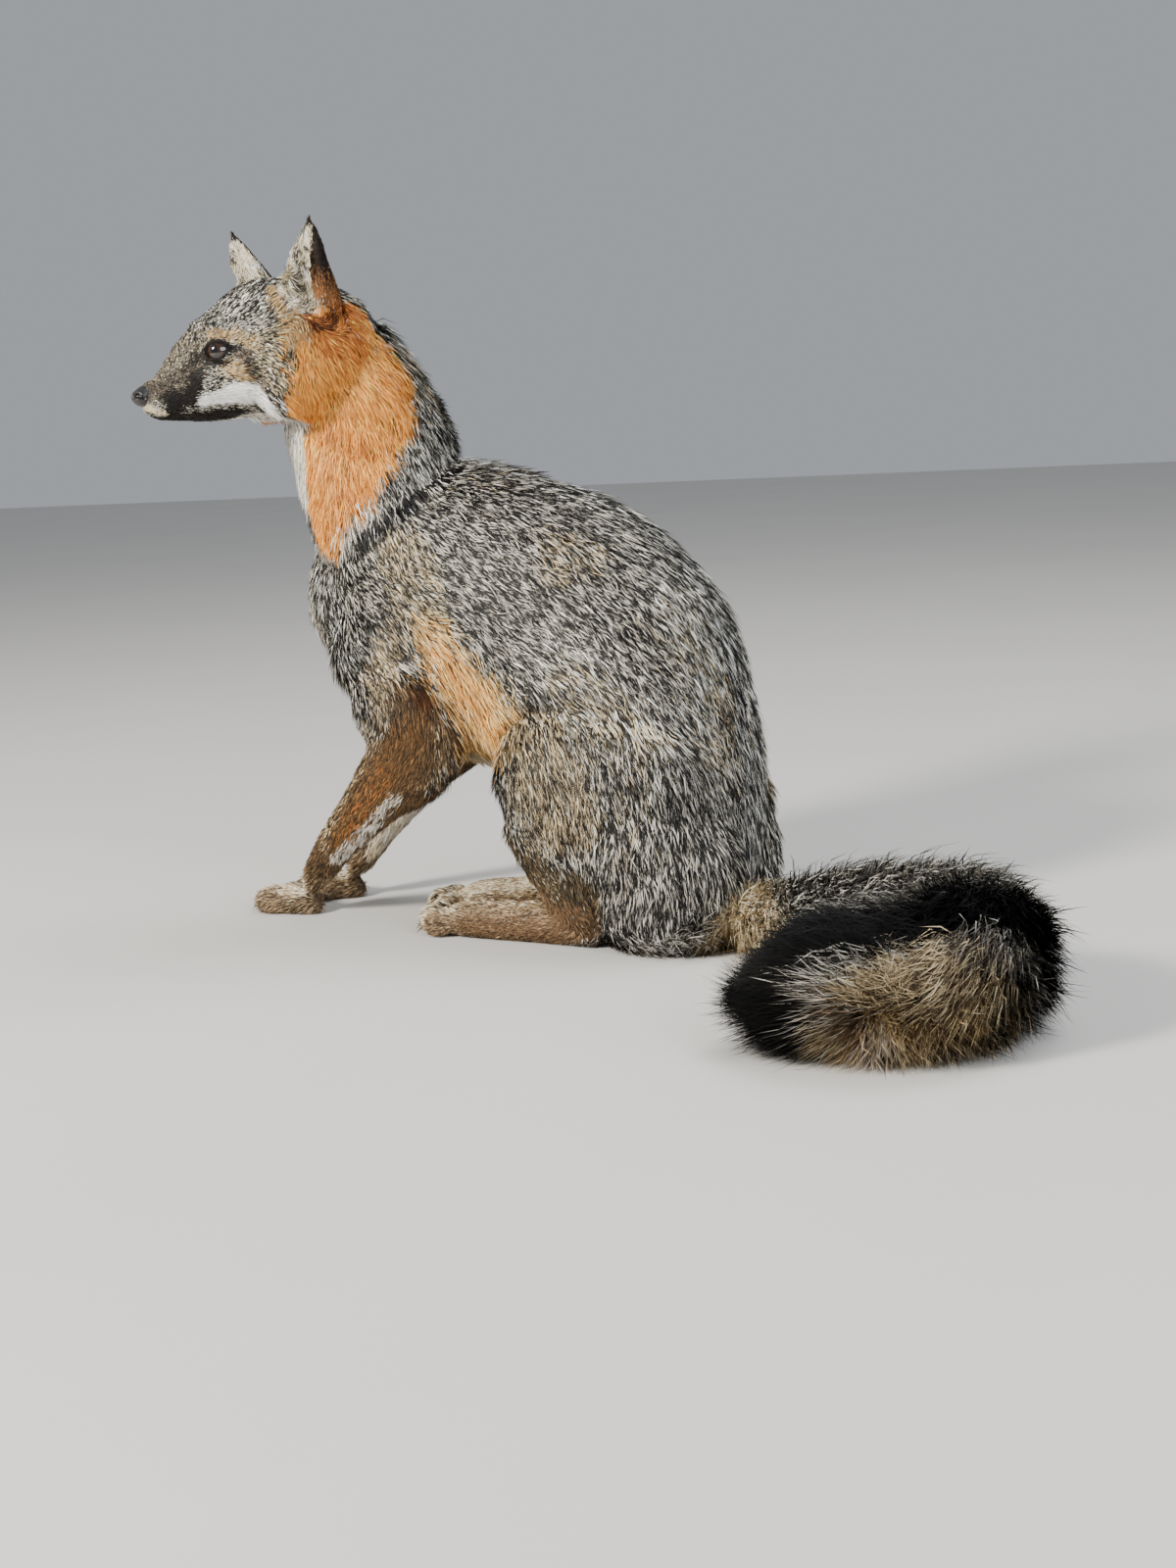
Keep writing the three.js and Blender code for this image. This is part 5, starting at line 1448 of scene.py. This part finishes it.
# -------- the fox
def read_skin(mesh):
    """The skin's numbers: its shape and the coat that grows on it."""
    mesh.calc_loop_triangles()
    points, normals = vertices(mesh), vertex_normals(mesh)
    flow, length, lift = lie_field(points, normals)
    local = on_head(points)
    bare = np.ones(len(points))
    for side in (-1, 1):
        outside, far, front = from_opening(local, side)
        near = (far < 26) & (front > -2)
        length = np.where(near, np.minimum(length, 1.2 + np.maximum(outside, 0) * 0.62), length)
        bare = np.where(near & (outside < 1.1), 0, bare)
    nose = np.linalg.norm((local - NOSE_CENTRE) / (np.array(NOSE_REACH) + 0.3), axis=1)
    length = np.minimum(length, np.where(nose < 3, 0.8 + (nose - 1) * 2.2, 99))
    bare = np.where(nose < 1, 0, bare)
    under = step(-points[:, 2], -1.2, -0.7)
    density = 2.6 * (4 / np.clip(length, 2.5, 60)) ** 0.75 * bare * (1 - under * 0.8)
    return {
        "points": points, "normals": normals, "flow": flow, "length": length, "lift": lift,
        "density": density, "triangles": read(mesh.loop_triangles, "vertices", 3, np.int32),
    }


def regions(skin):
    """The triangles of each stretch of the coat, by name."""
    middle = skin["points"][skin["triangles"]].mean(1)
    local = on_head(middle)
    head = (middle - HEAD_ABOVE[0]) @ HEAD_ABOVE[1] > 0
    face = head & (local[:, 0] < -54) & (local[:, 2] < 398)
    share, gap = tail_share(middle)
    tail = (gap < 27) & (share > 0.05) & ((middle[:, 0] > 118) | (middle[:, 1] < -95))
    fore = (middle[:, 0] < -18) & (middle[:, 2] < 112 + 0.1 * middle[:, 0]) & ~head
    hind = (middle[:, 0] >= -86) & (middle[:, 2] < 34) & (middle[:, 0] < 60) & ~fore
    neck = ~head & (middle[:, 2] > 232 + 0.35 * (middle[:, 0] + 100)) & (middle[:, 0] < -30)
    rest = ~(head | tail | fore | hind | neck)
    low = middle[:, 2] < 118 - 0.2 * (middle[:, 0] - 40)
    haunch = rest & low & (middle[:, 0] > -20)
    left = middle[:, 1] < 0
    return {
        "face": face, "crown": head & ~face, "neck": neck, "forelegs": fore, "hindfeet": hind,
        "haunch_left": haunch & left, "haunch_right": haunch & ~left,
        "trunk_left": rest & ~haunch & left, "trunk_right": rest & ~haunch & ~left,
        "tail_front": tail & (share < 0.48), "tail_end": tail & (share >= 0.48),
    }


FLESH = [
    "head", "ear_left", "ear_right", "neck", "trunk", "foreleg_left", "foreleg_right",
    "forepaw_left", "forepaw_right", "thigh_left", "thigh_right", "shank_left", "shank_right",
    "hind_foot_left", "hind_foot_right", "tail_base", "tail_middle", "tail_tip",
]
skin_mesh = make_skin()
skin = read_skin(skin_mesh)
colours = skin_colours(skin["points"], skin["normals"])
local = on_head(skin["points"])
for side in (-1, 1):
    outside, far, front = from_opening(local, side)
    lid = (1 - step(outside, 1.6, 3.2)) * (far < 16) * (front > 0)
    colours += (linear("#0b0908") - colours) * lid[:, None]
set_colours(skin_mesh, "coat_colour", np.concatenate([colours, np.ones((len(colours), 1))], 1))
set_vertices(skin_mesh, metres(skin["points"]))
skin_mesh.polygons.foreach_set("use_smooth", np.ones(len(skin_mesh.polygons), bool))
skin_mesh.name = "skin"
skin_piece = placed("skin", skin_mesh)
skin_mesh.materials.append(material("tanned_hide_with_underfur", skin_shader))
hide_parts(*FLESH)
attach(skin_piece, "root")

glass = material("glass_eye_painted_brown", eye_shader)
for side, node in ((-1, "eye_left"), (1, "eye_right")):
    eye = make_eye(side, glass)
    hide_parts(node)
    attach(eye, "root")
nose = make_nose(material("nose_leather_black", nose_shader))
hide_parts("nose_pad")
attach(nose, "root")
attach(make_claws(material("claw_horn_dull", claw_shader)), "root")

SHORT = material("short_face_fur", hair_shader(0.62, 0.22))
GUARD = material("banded_guard_hair", hair_shader(0.55, 0.25))
SOFT = material("long_tail_hair", hair_shader(0.52, 0.12))
areas = regions(skin)
# Each stretch: tufts, segments in each, width against the usual, material and slot.
COAT_PIECES = {
    "face": (66000, 2, 1.0, SHORT, "coat_face"),
    "crown": (56000, 2, 0.85, SHORT, "coat_ear"),
    "neck": (96000, 2, 0.62, GUARD, "coat_rust"),
    "trunk_left": (99000, 2, 0.66, GUARD, "coat_grizzled"),
    "trunk_right": (66000, 2, 0.8, GUARD, "coat_grizzled"),
    "haunch_left": (62000, 2, 0.66, GUARD, "coat_grizzled"),
    "haunch_right": (42000, 2, 0.8, GUARD, "coat_grizzled"),
    "forelegs": (56000, 2, 0.85, SHORT, "coat_rust"),
    "hindfeet": (32000, 2, 0.95, SHORT, "coat_buff"),
    "tail_front": (30000, 3, 0.6, SOFT, "coat_tail"),
    "tail_end": (49000, 3, 0.5, SOFT, "coat_tail"),
}
for name, (count, segments, width, finish, slot) in COAT_PIECES.items():
    piece = grow("coat_" + name, skin, areas[name], count, segments, width, finish, slot)
    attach(piece, "root")

# -------- studio
FLOOR_CORNERS = [[-6, -6, 0], [6, -6, 0], [6, 6, 0], [-6, 6, 0]]
floor = mesh_object("floor", FLOOR_CORNERS, [[0, 1, 2, 3]])


def floor_shader(tree):
    """Seamless studio paper: matt and pale, with a faint mottling."""
    mottle = texture(tree, "Noise", 3.0, Detail=4.0)
    return surface(tree, mix(tree, mottle, rgba("#cbc9c5"), rgba("#d6d4d0")), 0.9)


floor.data.materials.append(material("studio_paper", floor_shader))


def aimed(thing, place, right, up, back):
    """Puts a lamp or the camera at a place. It looks the way opposite to "back"."""
    thing.matrix_world = Matrix([*np.column_stack([right, up, back, place]).tolist(), [0, 0, 0, 1]])


def lamp(name, place, aim, size, power, colour):
    """A round area lamp."""
    light = bpy.data.lights.new(name, "AREA")
    light.shape, light.size, light.energy, light.color = "DISK", size, power, colour
    back = unit(np.array(place, float) - np.array(aim, float))
    right = unit(np.cross([0, 0, 1], back))
    aimed(placed(name, light), place, right, np.cross(back, right), back)


# name, place and aim in metres, width, watts and colour
lamp("key", [-1.3, -1.7, 1.35], [0, 0, 0.2], 0.5, 100, (1.0, 0.95, 0.87))
lamp("fill", [1.6, -1.0, 1.1], [0, 0, 0.2], 1.4, 26, (0.92, 0.96, 1.0))
lamp("top", [0.5, 0.6, 2.2], [0, 0, 0.1], 1.4, 30, (1.0, 1.0, 1.0))
world = bpy.data.worlds.new("studio")
bpy.context.scene.world = world
world.use_nodes = True
world.node_tree.nodes.clear()
sky = add(world.node_tree, "ShaderNodeBackground", {"Color": (0.86, 0.90, 0.96, 1), "Strength": 0.43})
add(world.node_tree, "ShaderNodeOutputWorld", {"Surface": sky.outputs[0]})

# Camera: 1.2 m from the middle of the fox, 32 cm up, tipped 10.3 degrees down, rolled 3.3 degrees.
YAW, TIP, ROLL = (math.radians(a) for a in (22.0, 10.3, 3.28))
CAMERA_PLACE = metres([522.3, -1212.6, 323.0])
SENSOR_WIDTH, FOCAL_LENGTH = 36, 49.5          # in mm
level_right = np.array([math.cos(YAW), math.sin(YAW), 0])
level_ahead = np.array([-math.sin(YAW), math.cos(YAW), 0])
ahead = level_ahead * math.cos(TIP) - np.array([0, 0, 1]) * math.sin(TIP)
upright = level_ahead * math.sin(TIP) + np.array([0, 0, 1]) * math.cos(TIP)
right = level_right * math.cos(ROLL) - upright * math.sin(ROLL)
up = level_right * math.sin(ROLL) + upright * math.cos(ROLL)
lens = bpy.data.cameras.new("camera")
lens.sensor_width, lens.lens = SENSOR_WIDTH, FOCAL_LENGTH
camera = placed("camera", lens)
aimed(camera, CAMERA_PLACE, right, up, -ahead)
bpy.context.scene.camera = camera
